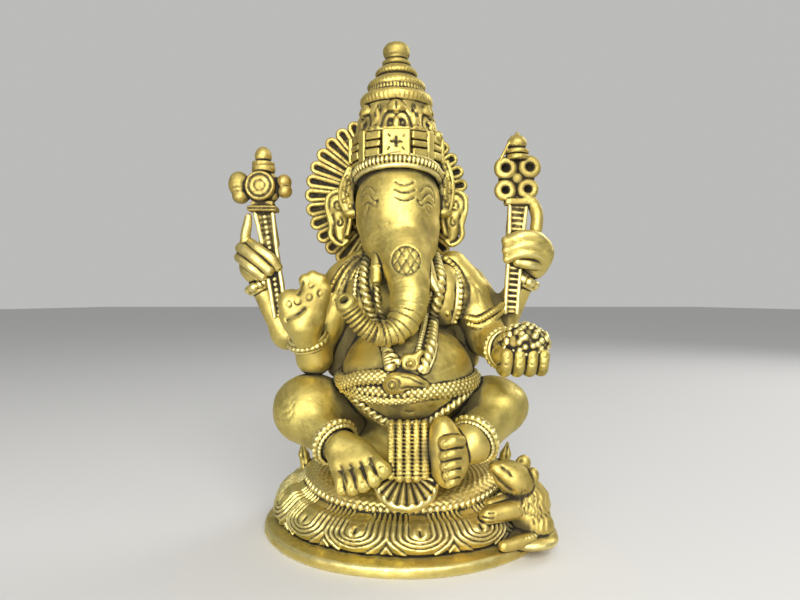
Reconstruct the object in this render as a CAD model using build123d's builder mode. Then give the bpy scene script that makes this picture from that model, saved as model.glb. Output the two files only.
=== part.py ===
"""Seated four-armed elephant-headed deity, a cast brass table figurine 150 mm tall.

The figurine is an assembly of separately formed castings that are brazed together: an open
pedestal, the seated body, four arms, the head with its crown and halo, the things held in the
hands, the ornaments, and the mouse on the pedestal's edge.

Frame: millimetres, +Z up, the figure faces -Y, and the origin is the centre of the footprint
on the table. "right" and "left" are the figure's own sides: its right hand is at -X.
"""

from build123d import *
from math import acos, cos, pi, radians, sin, sqrt
import os

os.makedirs("parts", exist_ok=True)

# ---------------------------------------------------------------- driving dimensions
TOTAL_HEIGHT = 150.0

# Pedestal. Every level is an ellipse, a little wider than it is deep.
BASE_HALF_WIDTH = 43.5
BASE_HALF_DEPTH = 40.5
DEPTH_SHARE = BASE_HALF_DEPTH / BASE_HALF_WIDTH
PLATE_WALL_HEIGHT = 3.0
PLATE_HEIGHT = 4.2
LEDGE_SETBACK = 2.2
PEDESTAL_TOP = 16.0
PEDESTAL_WALL = 3.0
PEDESTAL_LEVELS = [(PLATE_HEIGHT, 38.6), (7.0, 40.2), (10.5, 39.4), (13.6, 36.0), (PEDESTAL_TOP, 31.6)]
PETAL_COUNT = 14
FIRST_PETAL_ANGLE = -84.5
PETAL_UNDER_MOUSE = 2
PETAL_WIDTH = 15.5
PETAL_HEIGHT = 10.6
PETAL_THICKNESS = 1.6

# Seat
SEAT_HALF_WIDTH = 30.5
SEAT_TOP = 20.0
SEAT_ROUNDING = 2.0
RIM_ROPE_RADIUS = 1.15

# Torso, one smooth body through ellipses: height, centre x, centre y, half width, half depth
TORSO_LEVELS = [
    (SEAT_TOP, 0.5, 3.0, 17.0, 14.0),
    (26.5, 0.5, 1.5, 20.5, 17.0),
    (33.5, 0.6, -3.5, 19.0, 18.5),
    (41.0, 0.8, -7.0, 19.2, 20.0),
    (48.0, 0.8, -8.2, 19.6, 20.2),
    (55.0, 0.8, -7.0, 18.8, 17.6),
    (62.0, 0.3, -4.4, 19.0, 14.2),
    (70.0, 0.0, -2.6, 20.6, 13.0),
    (77.0, -0.3, -2.0, 18.6, 11.4),
    (82.5, -0.8, -2.4, 13.0, 9.4),
    (87.0, -1.4, -3.2, 9.0, 8.0),
]
BELLY_CENTRE = Vector(0.8, -8.2, 48.0)
BELLY_RADIUS = 19.6

# Head group. It leans a little to the figure's right, as the casting does.
HEAD_X = -2.2
HEAD_CENTRE = Vector(HEAD_X, -5.0, 98.5)
HEAD_HALF_WIDTH = 13.0
HEAD_HALF_HEIGHT = 17.0
CROWN_X = HEAD_X - 0.4
CROWN_AXIS_Y = -2.5
BAND_CENTRE = Vector(HEAD_X, -4.6, 107.3)
BAND_RADIUS = 12.9
BAND_THICKNESS = 1.6
BAND_TILT = 14.0
CROWN_BASE = 106.0
CROWN_SHOULDER = 129.0
SPIRE_BASE = CROWN_SHOULDER
FINIAL_BASE = 143.6
HALO_CENTRE = Vector(-5.4, 7.2, 103.3)
HALO_RADIUS = 27.8
HALO_HUB_RADIUS = 15.2
HALO_THICKNESS = 2.4
HALO_TURN = 8.0
RAY_COUNT = 34
RAY_WIDTH = 4.3
RAY_SLOT = 1.3
RAY_EYE_RADIUS = 0.95

# Spigots that locate one casting in the next before brazing
SEAT_SPIGOT_RADIUS = 6.0
NECK_SPIGOT_RADIUS = 4.5
CROWN_SPIGOT_RADIUS = 4.0
SPIGOT_LENGTH = 6.0

ON_ITS_FOOT = (Align.CENTER, Align.CENTER, Align.MIN)

# Loose crumbs that a cut leaves, as a share of the biggest solid in a piece
CRUMB_SHARE = 0.02


# ---------------------------------------------------------------- building helpers
def save(piece, name, keep=1):
    """Writes a piece's `keep` biggest solids to parts/NAME.step, without the crumbs a cut leaves."""
    solids = piece.part.solids().sort_by(SortBy.VOLUME)[-keep:]
    solids = [s for s in solids if s.volume > CRUMB_SHARE * solids[-1].volume]
    piece.part = Part(solids)
    piece.part.label = name
    export_step(piece.part, f"parts/{name}.step")


def take_away(*pieces):
    """Cuts the neighbours' material out of the part being built."""
    for piece in pieces:
        add(piece.part, mode=Mode.SUBTRACT)


def limb(start, end, start_radius, end_radius):
    """Adds a round tapered limb that is rounded off at both ends."""
    start, end = Vector(*start), Vector(*end)
    run = end - start
    taper = (start_radius - end_radius) / run.length
    shoulder = acos(taper)
    near = (start_radius * taper, start_radius * sin(shoulder))
    far = (run.length + end_radius * taper, end_radius * sin(shoulder))
    near_middle = (-start_radius * cos((pi - shoulder) / 2), start_radius * sin((pi - shoulder) / 2))
    far_middle = (run.length + end_radius * cos(shoulder / 2), end_radius * sin(shoulder / 2))
    with BuildSketch(Plane(origin=start, x_dir=run, z_dir=side_of(run))) as profile:
        with BuildLine():
            ThreePointArc((-start_radius, 0), near_middle, near)
            Line(near, far)
            ThreePointArc(far, far_middle, (run.length + end_radius, 0))
            Line((run.length + end_radius, 0), (-start_radius, 0))
        make_face()
    revolve(profile.sketch, axis=Axis(start, run))


def spheroid(centre, direction, half_length, radius):
    """Adds an egg shape, turned about `direction` through `centre`."""
    with BuildSketch(Plane(origin=centre, x_dir=direction, z_dir=side_of(direction))) as outline:
        Ellipse(half_length, radius)
        with Locations((0, -radius)):
            Rectangle(2 * half_length, 2 * radius, mode=Mode.SUBTRACT)
    revolve(outline.sketch, axis=Axis(centre, direction))


def side_of(direction):
    """Any unit vector square to `direction`."""
    direction = Vector(*direction)
    other = Vector(0, 0, 1) if abs(direction.Z) < 0.9 * direction.length else Vector(1, 0, 0)
    return direction.cross(other).normalized()


def ring(centre, axis, radius, thickness):
    """Adds a round ring whose axis points along `axis`."""
    with Locations(Plane(origin=centre, z_dir=axis)):
        Torus(radius, thickness)


def pin(centre, radius, height, direction=(0, 0, 1), mode=Mode.ADD):
    """Adds or takes a round pin that starts at `centre` and runs along `direction`."""
    with Locations(Plane(origin=centre, z_dir=direction)):
        Cylinder(radius, height, align=ON_ITS_FOOT, mode=mode)


def block(centre, size):
    """Adds an upright block."""
    with Locations(centre):
        Box(*size)


def level_loft(levels, inset=0.0):
    """Adds a body through elliptical levels: height, centre x, centre y, half width, half depth."""
    sections = []
    for height, x, y, half_width, half_depth in levels:
        with BuildSketch(Plane.XY.offset(height)) as level:
            with Locations((x, y)):
                Ellipse(half_width - inset, half_depth - inset)
        sections.append(level.sketch)
    loft(sections)


def pedestal_point(angle, half_width, height):
    """Point on the pedestal's ellipse of that half width, at an angle about +Z."""
    turn = radians(angle)
    return Vector(half_width * cos(turn), half_width * DEPTH_SHARE * sin(turn), height)


def torso_section(height):
    """Centre x, centre y, half width and half depth of the torso at a height."""
    lower, upper = TORSO_LEVELS[0], TORSO_LEVELS[-1]
    for below, above in zip(TORSO_LEVELS, TORSO_LEVELS[1:]):
        if below[0] <= height <= above[0]:
            lower, upper = below, above
    share = (height - lower[0]) / (upper[0] - lower[0])
    return [low + share * (high - low) for low, high in zip(lower[1:], upper[1:])]


def torso_front(x, height):
    """Point on the torso's front, where an ornament lies."""
    centre_x, centre_y, half_width, half_depth = torso_section(height)
    across = min(0.98, abs(x - centre_x) / half_width)
    return Vector(x, centre_y - half_depth * sqrt(1 - across**2), height)


def cord(points, radius):
    """Adds a round cord along a smooth curve through the points."""
    with BuildLine() as path:
        Spline(*points)
    with BuildSketch(Plane(origin=path.line @ 0, z_dir=path.line % 0)) as section:
        Circle(radius)
    sweep(section.sketch, path=path.line)


# ---------------------------------------------------------------- pedestal and seat
with BuildPart() as base_plate:
    with BuildSketch():
        Ellipse(BASE_HALF_WIDTH, BASE_HALF_DEPTH)
    extrude(amount=PLATE_WALL_HEIGHT)
    with BuildSketch(Plane.XY.offset(PLATE_WALL_HEIGHT)):
        Ellipse(BASE_HALF_WIDTH - 0.4, BASE_HALF_DEPTH - 0.4)
    with BuildSketch(Plane.XY.offset(PLATE_HEIGHT)):
        Ellipse(BASE_HALF_WIDTH - LEDGE_SETBACK, BASE_HALF_DEPTH - LEDGE_SETBACK)
    loft()
    with BuildSketch():
        Ellipse(PEDESTAL_LEVELS[0][1] - PEDESTAL_WALL, PEDESTAL_LEVELS[0][1] * DEPTH_SHARE - PEDESTAL_WALL)
    extrude(amount=PLATE_HEIGHT, mode=Mode.SUBTRACT)
save(base_plate, "base_plate")

with BuildPart() as pedestal_core:
    hollow_levels = [(z, 0, 0, r, r * DEPTH_SHARE) for z, r in PEDESTAL_LEVELS[:-1]]
    level_loft(hollow_levels, inset=PEDESTAL_WALL)

with BuildPart() as lotus_pedestal:
    level_loft([(z, 0, 0, r, r * DEPTH_SHARE) for z, r in PEDESTAL_LEVELS])
    add(pedestal_core.part, mode=Mode.SUBTRACT)
    pin((0, 0, PEDESTAL_TOP - 2 * SPIGOT_LENGTH), SEAT_SPIGOT_RADIUS, 3 * SPIGOT_LENGTH, mode=Mode.SUBTRACT)
save(lotus_pedestal, "lotus_pedestal")

with BuildPart() as lotus_petals:
    for number in range(PETAL_COUNT):
        if number == PETAL_UNDER_MOUSE:
            continue
        angle = FIRST_PETAL_ANGLE + number * 360 / PETAL_COUNT
        foot = pedestal_point(angle, PEDESTAL_LEVELS[1][1] - PEDESTAL_WALL, 9.8)
        outward = Vector(cos(radians(angle)) * DEPTH_SHARE, sin(radians(angle)), 0.42)
        with BuildSketch(Plane(origin=foot, x_dir=outward.cross(Vector(0, 0, 1)), z_dir=outward)):
            Ellipse(PETAL_WIDTH / 2, PETAL_HEIGHT / 2)
        extrude(amount=PEDESTAL_WALL + PETAL_THICKNESS)
    with BuildSketch(Plane.XY.offset(-PLATE_HEIGHT)):
        Rectangle(4 * BASE_HALF_WIDTH, 4 * BASE_HALF_WIDTH)
    extrude(amount=2 * PLATE_HEIGHT, mode=Mode.SUBTRACT)
    add(pedestal_core.part, mode=Mode.SUBTRACT)
    take_away(lotus_pedestal, base_plate)
save(lotus_petals, "lotus_petals", keep=PETAL_COUNT - 1)

with BuildPart() as seat_cushion:
    with BuildSketch(Plane.XY.offset(PEDESTAL_TOP)):
        Ellipse(SEAT_HALF_WIDTH, SEAT_HALF_WIDTH * DEPTH_SHARE)
    extrude(amount=SEAT_TOP - PEDESTAL_TOP)
    fillet(seat_cushion.faces().sort_by(Axis.Z)[-1].edges(), SEAT_ROUNDING)
    pin((0, 0, PEDESTAL_TOP), SEAT_SPIGOT_RADIUS, SPIGOT_LENGTH, mode=Mode.SUBTRACT)
save(seat_cushion, "seat_cushion")

with BuildSketch(Plane.XY.offset(PEDESTAL_TOP + RIM_ROPE_RADIUS - 0.2)) as seat_outline:
    Ellipse(SEAT_HALF_WIDTH, SEAT_HALF_WIDTH * DEPTH_SHARE)

with BuildPart() as seat_bead_rim:
    rim_path = seat_outline.sketch.edge()
    with BuildSketch(Plane(origin=rim_path @ 0, z_dir=rim_path % 0)):
        Circle(RIM_ROPE_RADIUS)
    sweep(path=rim_path)
    take_away(seat_cushion, lotus_pedestal)
save(seat_bead_rim, "seat_bead_rim")

# ---------------------------------------------------------------- torso
with BuildPart() as torso:
    level_loft(TORSO_LEVELS)
    limb((-16.5, -1.0, 70.0), (-19.5, -2.5, 50.0), 5.4, 4.2)
    limb((16.0, -1.0, 70.0), (19.6, -2.5, 52.0), 4.6, 3.4)
    pin((0, 0, PEDESTAL_TOP - SPIGOT_LENGTH / 2), SEAT_SPIGOT_RADIUS, SPIGOT_LENGTH + 4)
    pin((-1.4, -3.2, TORSO_LEVELS[-1][0] - 1), NECK_SPIGOT_RADIUS, SPIGOT_LENGTH + 1)
save(torso, "torso")

# ---------------------------------------------------------------- legs and feet
with BuildPart() as right_leg:
    limb((-13, 0, 31), (-30.6, -12, 37.4), 10.5, 9.7)
    limb((-29.8, -13, 36), (-18.6, -26, 30), 8.8, 5.4)
    take_away(torso, seat_cushion, seat_bead_rim)
save(right_leg, "right_leg")

with BuildPart() as left_leg:
    limb((14, 0, 31.5), (27.6, -11.5, 38.4), 10.5, 9.0)
    limb((26.8, -13, 37), (18.0, -26.5, 31), 8.6, 5.4)
    take_away(torso, seat_cushion, seat_bead_rim)
save(left_leg, "left_leg")

TOE_COUNT = 5

with BuildPart() as right_foot:
    limb((-16.2, -28.4, 28.2), (-9.6, -32.2, 25.6), 5.4, 5.0)
    for toe in range(TOE_COUNT):
        share = toe / (TOE_COUNT - 1)
        knuckle = (-17.0 + 10.4 * share, -32.0, 23.2 + 2.2 * share)
        tip = (-15.6 + 11.2 * share, -35.2, 21.0 + 3.4 * share)
        limb(knuckle, tip, 1.7, 1.3 + 0.5 * share)
    take_away(right_leg, seat_cushion, seat_bead_rim)
save(right_foot, "right_foot")

with BuildPart() as left_foot:
    limb((11.0, -31.2, 25.2), (12.0, -31.2, 33.8), 5.3, 5.0)
    for toe in range(TOE_COUNT):
        share = toe / (TOE_COUNT - 1)
        arch = sin(share * pi)
        with Locations((12.6 + 2.4 * arch, -35.4 - 0.6 * arch, 34.0 - 10.6 * share)):
            Sphere(1.7)
    take_away(left_leg, torso, seat_cushion, seat_bead_rim)
save(left_foot, "left_foot")

with BuildPart() as right_anklet:
    ring((-19.6, -25.0, 30.8), Vector(10.6, -13, -6), 6.6, 1.3)
    take_away(right_leg, right_foot, torso)
save(right_anklet, "right_anklet")

with BuildPart() as left_anklet:
    ring((18.9, -25.2, 31.8), Vector(-8.8, -13.5, -6), 6.6, 1.3)
    take_away(left_leg, left_foot, torso)
save(left_anklet, "left_anklet")

# ---------------------------------------------------------------- cloth and belt
APRON_PLEATS = 5
APRON_PLEAT_WIDTH = 2.2

with BuildPart() as apron_pleats:
    for pleat in range(APRON_PLEATS):
        x = 0.6 + (pleat - (APRON_PLEATS - 1) / 2) * APRON_PLEAT_WIDTH
        limb((x, -30.6, 36.2), (x, -32.6, 24.6), 1.25, 1.35)
    block((0.6, -29.2, 30.4), (APRON_PLEATS * APRON_PLEAT_WIDTH, 4.6, 12.4))
    take_away(torso, right_leg, left_leg, right_foot, left_foot, right_anklet, left_anklet)
save(apron_pleats, "apron_pleats")

with BuildPart() as cloth_fan:
    with BuildSketch(Plane(origin=(0.4, -29.6, 21.6), x_dir=(1, 0, 0), z_dir=(0, -0.62, 0.78))):
        Ellipse(8.6, 8.2)
    extrude(amount=-3.4)
    take_away(seat_cushion, seat_bead_rim, lotus_pedestal, lotus_petals)
    take_away(right_foot, left_foot, apron_pleats, torso)
save(cloth_fan, "cloth_fan")

with BuildPart() as waist_cord:
    ring((0.8, -6.2, 37.2), (0, -0.16, 1), 19.6, 1.25)
    take_away(torso, right_leg, left_leg, left_anklet, apron_pleats)
save(waist_cord, "waist_cord", keep=2)

with BuildPart() as snake_belt:
    ring((BELLY_CENTRE.X, BELLY_CENTRE.Y, 45.2), (0, -0.1, 1), BELLY_RADIUS + 0.2, 2.7)
    take_away(torso, right_leg, left_leg)
save(snake_belt, "snake_belt", keep=2)

with BuildPart() as snake_head:
    limb((-1.2, -29.4, 47.4), (5.4, -28.8, 46.0), 3.4, 2.7)
    take_away(torso, snake_belt)
save(snake_head, "snake_head")

# ---------------------------------------------------------------- head
with BuildPart() as head:
    spheroid(HEAD_CENTRE, (0, 0, 1), HEAD_HALF_HEIGHT, HEAD_HALF_WIDTH)
    limb((HEAD_X + 0.4, -7.4, 98.0), (HEAD_X + 1, -10.8, 88.0), 11.7, 10.2)
    take_away(torso)
save(head, "head")

TRUNK_PATH = [
    (-0.6, -14.0, 85.4, 9.2),
    (-0.2, -16.4, 82.4, 8.0),
    (0.7, -21.0, 77.2, 6.3),
    (1.2, -23.8, 71.6, 5.6),
    (0.5, -26.0, 66.2, 4.9),
    (-2.7, -27.8, 61.8, 4.0),
    (-7.4, -28.9, 60.7, 3.3),
    (-11.5, -29.5, 63.2, 2.9),
    (-14.2, -29.9, 66.4, 2.8),
]

with BuildPart() as trunk:
    for lower, upper in zip(TRUNK_PATH, TRUNK_PATH[1:]):
        limb(lower[:3], upper[:3], lower[3], upper[3])
    tip, before = Vector(*TRUNK_PATH[-1][:3]), Vector(*TRUNK_PATH[-2][:3])
    pin(tip, TRUNK_PATH[-1][3], 3.0, direction=tip - before)
    pin(tip + (tip - before).normalized(), 1.5, 3.0, direction=tip - before, mode=Mode.SUBTRACT)
    take_away(head, torso)
save(trunk, "trunk")

with BuildPart() as right_tusk:
    limb((-7.6, -16.0, 83.0), (-8.4, -20.2, 76.4), 2.2, 1.5)
    take_away(head, trunk, torso)
save(right_tusk, "right_tusk")

with BuildPart() as left_tusk:
    limb((6.6, -16.4, 81.6), (8.2, -20.2, 75.4), 2.1, 1.2)
    take_away(head, trunk, torso)
save(left_tusk, "left_tusk")


def ear(side_x, lean):
    """Adds one folded ear, broad at the top and drawn to a point at the bottom."""
    with BuildSketch(Plane(origin=(side_x, 2.2, 96.6), x_dir=(1, lean, 0), z_dir=(lean, -1, 0))) as outline:
        with BuildLine():
            Spline((0, -9.6), (-3.8, -4.8), (-5.0, 2.6), (0, 8.6), (5.0, 2.6), (3.8, -4.8), (0, -9.6))
        make_face()
    extrude(outline.sketch, amount=3.6)


with BuildPart() as right_ear:
    ear(-20.8, 0.15)
    take_away(head, torso)
save(right_ear, "right_ear")

with BuildPart() as left_ear:
    ear(15.6, -0.15)
    take_away(head, torso)
save(left_ear, "left_ear")

# ---------------------------------------------------------------- crown and halo
with BuildPart() as crown_band:
    ring(BAND_CENTRE, (0, sin(radians(BAND_TILT)), cos(radians(BAND_TILT))), BAND_RADIUS, BAND_THICKNESS)
    take_away(head)
save(crown_band, "crown_band")

CROWN_PROFILE = [(CROWN_BASE, 13.2), (112.0, 13.8), (119.5, 13.7), (123.0, 12.0), (CROWN_SHOULDER, 10.4)]

with BuildPart() as crown_body:
    level_loft([(z, CROWN_X, CROWN_AXIS_Y, r, r) for z, r in CROWN_PROFILE])
    pin((CROWN_X, CROWN_AXIS_Y, CROWN_SHOULDER - SPIGOT_LENGTH / 2), CROWN_SPIGOT_RADIUS, SPIGOT_LENGTH,
        mode=Mode.SUBTRACT)
    take_away(head, crown_band)
save(crown_body, "crown_body")

SPIRE_PROFILE = [(9.4, 0.0), (10.9, 0.6), (11.2, 1.6), (11.1, 2.9), (9.4, 4.3), (8.8, 4.9), (9.0, 6.8),
                 (8.2, 8.0), (6.2, 9.3), (6.5, 10.8), (5.4, 11.8), (4.2, 12.6), (4.4, 13.6), (3.5, 14.2)]

with BuildPart() as crown_spire:
    spire_plane = Plane(origin=(CROWN_X, CROWN_AXIS_Y, SPIRE_BASE), x_dir=(1, 0, 0), z_dir=(0, -1, 0))
    with BuildSketch(spire_plane) as spire_profile:
        with BuildLine():
            Polyline((0, 0), *SPIRE_PROFILE, (0, SPIRE_PROFILE[-1][1]), (0, 0))
        make_face()
    revolve(axis=Axis(spire_plane.origin, (0, 0, 1)))
    pin((CROWN_X, CROWN_AXIS_Y, SPIRE_BASE - SPIGOT_LENGTH / 2), CROWN_SPIGOT_RADIUS, SPIGOT_LENGTH / 2)
save(crown_spire, "crown_spire")

FINIAL_BALL_RADIUS = 4.1
FINIAL_NECK_RADIUS = 2.8

with BuildPart() as crown_finial:
    with Locations((CROWN_X, CROWN_AXIS_Y, TOTAL_HEIGHT - FINIAL_BALL_RADIUS)):
        Sphere(FINIAL_BALL_RADIUS)
    pin((CROWN_X, CROWN_AXIS_Y, FINIAL_BASE - 2), FINIAL_NECK_RADIUS, 4)
    take_away(crown_spire)
save(crown_finial, "crown_finial")

with BuildPart() as halo:
    halo_plane = Plane(origin=HALO_CENTRE, z_dir=(sin(radians(HALO_TURN)), -cos(radians(HALO_TURN)), 0))
    with BuildSketch(halo_plane):
        Circle(HALO_HUB_RADIUS)
        with PolarLocations((HALO_RADIUS + HALO_HUB_RADIUS) / 2 - 0.8, RAY_COUNT):
            SlotOverall(HALO_RADIUS - HALO_HUB_RADIUS + 1.6, RAY_WIDTH)
        with PolarLocations((HALO_RADIUS + HALO_HUB_RADIUS) / 2 - 1.6, RAY_COUNT):
            SlotOverall(HALO_RADIUS - HALO_HUB_RADIUS - 5.6, RAY_SLOT, mode=Mode.SUBTRACT)
        with PolarLocations(HALO_RADIUS - RAY_WIDTH / 2, RAY_COUNT):
            Circle(RAY_EYE_RADIUS, mode=Mode.SUBTRACT)
    extrude(amount=HALO_THICKNESS / 2, both=True)
    take_away(torso, head, crown_band, crown_body, crown_spire, right_ear, left_ear)
save(halo, "halo")

with BuildPart() as right_lappet:
    limb((HEAD_X - 14.6, -4.0, 110.5), (HEAD_X - 15.4, -3.0, 99.5), 2.4, 2.7)
    take_away(head, crown_body, crown_band, right_ear, halo)
save(right_lappet, "right_lappet")

with BuildPart() as left_lappet:
    limb((HEAD_X + 14.2, -4.0, 111.0), (HEAD_X + 14.8, -3.0, 99.5), 2.4, 2.7)
    take_away(head, crown_body, crown_band, left_ear, halo)
save(left_lappet, "left_lappet")

# ---------------------------------------------------------------- front arms
with BuildPart() as right_front_arm:
    limb((-17.6, -3.4, 76.4), (-26.8, -8.2, 57.0), 6.4, 5.8)
    limb((-27.6, -10.0, 52.6), (-29.2, -14.0, 60.5), 6.0, 5.0)
    take_away(torso, right_leg, snake_belt, head)
save(right_front_arm, "right_front_arm")

with BuildPart() as left_front_arm:
    limb((16.8, -3.0, 76.2), (24.6, -6.8, 60.4), 6.6, 6.2)
    limb((25.6, -8.5, 57.2), (29.6, -18.0, 55.4), 6.6, 5.2)
    take_away(torso, left_leg, snake_belt, head)
save(left_front_arm, "left_front_arm")

FINGER_COUNT = 4
PALM_SIZE = (13.4, 13.0)
PALM_THICKNESS = 5.0

with BuildPart() as right_front_hand:
    with BuildSketch(Plane(origin=(-30.2, -21.0, 65.8), x_dir=(1, 0, 0.1), z_dir=(0, 1, 0))):
        RectangleRounded(*PALM_SIZE, PALM_SIZE[0] / 3)
    extrude(amount=PALM_THICKNESS)
    for finger in range(FINGER_COUNT):
        x = -35.0 + 3.3 * finger
        limb((x, -18.6, 68.5), (x + 1.2, -19.2, 76.2 + 1.2 * sin(finger)), 2.1, 1.75)
    limb((-25.4, -19.4, 62.4), (-22.6, -20.2, 70.4), 2.3, 1.7)
    take_away(right_front_arm)
save(right_front_hand, "right_front_hand")

with BuildPart() as right_front_bracelet:
    ring((-28.7, -13.2, 57.6), (-0.16, -0.42, 0.9), 6.0, 1.5)
    take_away(right_front_arm, right_front_hand)
save(right_front_bracelet, "right_front_bracelet", keep=2)

with BuildPart() as left_front_hand:
    limb((29.8, -19.0, 54.8), (32.4, -22.0, 54.2), 5.6, 5.6)
    for finger in range(FINGER_COUNT):
        x = 27.2 + 3.7 * finger
        limb((x, -24.6, 50.6), (x + 0.2, -29.0, 54.6), 1.75, 1.75)
    take_away(left_front_arm)
save(left_front_hand, "left_front_hand")

with BuildPart() as sweet_bowl:
    limb((32.6, -22.8, 57.6), (32.6, -22.8, 60.2), 6.8, 6.2)
    take_away(left_front_hand, left_front_arm)
save(sweet_bowl, "sweet_bowl")

with BuildPart() as left_front_bracelet:
    ring((28.0, -14.2, 56.1), (4, -9.5, -0.8), 6.2, 1.3)
    take_away(left_front_arm, left_front_hand, sweet_bowl, torso)
save(left_front_bracelet, "left_front_bracelet", keep=2)

# ---------------------------------------------------------------- rear arms and what they hold
RIGHT_SHAFT = (Vector(-37.6, -7.6, 65.0), Vector(-44.3, -4.6, 99.0))
LEFT_SHAFT = (Vector(32.4, -6.0, 66.0), Vector(35.2, -3.4, 102.0))
SHAFT_WIDTH = 4.6
SHAFT_DEPTH = 3.4


def shaft(start, end):
    """Adds the flat bar of a hand-held emblem."""
    with BuildSketch(Plane(origin=start, x_dir=(1, 0, 0), z_dir=end - start)) as section:
        RectangleRounded(SHAFT_WIDTH, SHAFT_DEPTH, 0.8)
    extrude(section.sketch, amount=(end - start).length)


with BuildPart() as axe_shaft:
    shaft(*RIGHT_SHAFT)
save(axe_shaft, "axe_shaft")

with BuildPart() as noose_shaft:
    shaft(*LEFT_SHAFT)
    take_away(left_front_arm)
save(noose_shaft, "noose_shaft")

with BuildPart() as right_rear_arm:
    limb((-21.0, 3.0, 74.0), (-37.4, 0.5, 59.4), 5.6, 5.0)
    limb((-37.4, 0.5, 59.4), (-45.6, -1.6, 75.0), 5.0, 3.8)
    take_away(torso, right_front_arm, right_leg, axe_shaft)
save(right_rear_arm, "right_rear_arm")

with BuildPart() as left_rear_arm:
    limb((20.6, 3.0, 74.0), (30.2, 0.5, 61.6), 5.6, 5.2)
    limb((30.2, 0.5, 61.6), (37.0, -1.2, 76.0), 5.2, 4.0)
    take_away(torso, left_front_arm, left_leg, noose_shaft)
save(left_rear_arm, "left_rear_arm")

with BuildPart() as right_rear_hand:
    limb((-46.4, -2.0, 77.4), (-47.6, -3.6, 83.6), 4.2, 4.6)
    for finger in range(FINGER_COUNT):
        z = 86.2 - 3.0 * finger
        limb((-49.4, -7.0, z), (-40.2, -9.0, z - 2.4), 1.7, 1.6)
    take_away(right_rear_arm, axe_shaft)
save(right_rear_hand, "right_rear_hand")

with BuildPart() as left_rear_hand:
    limb((39.2, -1.6, 79.4), (41.4, -2.6, 86.6), 4.4, 5.2)
    for finger in range(FINGER_COUNT):
        z = 90.6 - 3.0 * finger
        limb((43.0, -6.0, z), (33.0, -7.8, z + 0.8), 1.6, 1.6)
    take_away(left_rear_arm, noose_shaft)
save(left_rear_hand, "left_rear_hand")

with BuildPart() as right_rear_bracelet:
    ring((-45.4, -1.5, 74.4), (-0.46, -0.12, 0.88), 4.2, 1.35)
    take_away(right_rear_arm, right_rear_hand, axe_shaft)
save(right_rear_bracelet, "right_rear_bracelet", keep=2)

with BuildPart() as left_rear_bracelet:
    ring((37.0, -1.2, 76.0), (0.42, -0.1, 0.9), 4.4, 1.4)
    take_away(left_rear_arm, left_rear_hand, noose_shaft)
save(left_rear_bracelet, "left_rear_bracelet", keep=2)

AXE_CENTRE = Vector(-44.6, -4.6, 105.4)

with BuildPart() as axe_head:
    pin(AXE_CENTRE + (0, 4.0, 0), 5.6, 8.0, direction=(0, -1, 0))
    limb(AXE_CENTRE + (-5.0, 0, 0.4), AXE_CENTRE + (-7.6, 0, 1.6), 2.6, 2.4)
    limb(AXE_CENTRE + (-4.0, 0, -2.0), AXE_CENTRE + (-7.2, 0, -3.8), 2.0, 1.7)
    limb(AXE_CENTRE + (5.0, 0, 0.2), AXE_CENTRE + (7.6, 0, 0.0), 2.4, 2.0)
    block(AXE_CENTRE + (0.1, 0, -6.4), (9.0, 4.6, 1.8))
    pin(AXE_CENTRE + (0, 0, 4.4), 3.4, 3.4)
    take_away(axe_shaft)
save(axe_head, "axe_head")

with BuildPart() as axe_finial:
    with Locations(AXE_CENTRE + (0, 0, 8.4)):
        Cone(2.7, 1.2, 3.6)
    with Locations(AXE_CENTRE + (0, 0, 10.2)):
        Sphere(1.6)
    take_away(axe_head)
save(axe_finial, "axe_finial")

NOOSE_CENTRE = Vector(35.1, -3.2, 108.4)
EYE_PITCH_X = 7.2
EYE_PITCH_Z = 6.6
EYE_OUTER_RADIUS = 3.5
EYE_RADIUS = 1.35

with BuildPart() as noose_head:
    with BuildSketch(Plane(origin=NOOSE_CENTRE + (0, 2.2, 0), x_dir=(1, 0, 0), z_dir=(0, -1, 0))):
        Rectangle(EYE_PITCH_X, 2 * EYE_PITCH_Z - 1)
        with GridLocations(EYE_PITCH_X, EYE_PITCH_Z, 2, 2):
            Circle(EYE_OUTER_RADIUS)
        with GridLocations(EYE_PITCH_X, EYE_PITCH_Z, 2, 2):
            Circle(EYE_RADIUS, mode=Mode.SUBTRACT)
    extrude(amount=4.4)
    take_away(noose_shaft)
save(noose_head, "noose_head")

with BuildPart() as noose_finial:
    pin(NOOSE_CENTRE + (0, 0, EYE_PITCH_Z - 0.2), 3.2, 2.4)
    with Locations(NOOSE_CENTRE + (0, 0, EYE_PITCH_Z + 5.0)):
        Cone(3.3, 1.1, 5.6)
    with Locations(NOOSE_CENTRE + (0, 0, EYE_PITCH_Z + 7.6)):
        Sphere(1.5)
    take_away(noose_head)
save(noose_finial, "noose_finial")

# ---------------------------------------------------------------- necklaces
GARLAND_RADIUS = 1.3
THREAD_RADIUS = 1.0

with BuildPart() as right_garland:
    cord([torso_front(x, z) for x, z in [(-9.6, 82.5), (-12.6, 75), (-12.2, 67), (-8.6, 59), (-3.0, 53.4)]],
         GARLAND_RADIUS)
    take_away(torso, head, trunk, right_tusk, right_front_arm)
save(right_garland, "right_garland")

with BuildPart() as left_garland:
    cord([torso_front(x, z) for x, z in [(8.6, 82.5), (11.4, 75), (11.6, 66), (9.6, 58), (5.6, 52.6)]],
         GARLAND_RADIUS)
    take_away(torso, head, trunk, left_tusk, left_front_arm, snake_head)
save(left_garland, "left_garland")

with BuildPart() as sacred_thread:
    cord([torso_front(x, z) for x, z in [(14.6, 79.0), (15.8, 72), (15.2, 64), (12.6, 57), (9.0, 51.0)]],
         THREAD_RADIUS)
    take_away(torso, head, left_garland, left_front_arm, snake_belt, snake_head)
save(sacred_thread, "sacred_thread")

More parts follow.
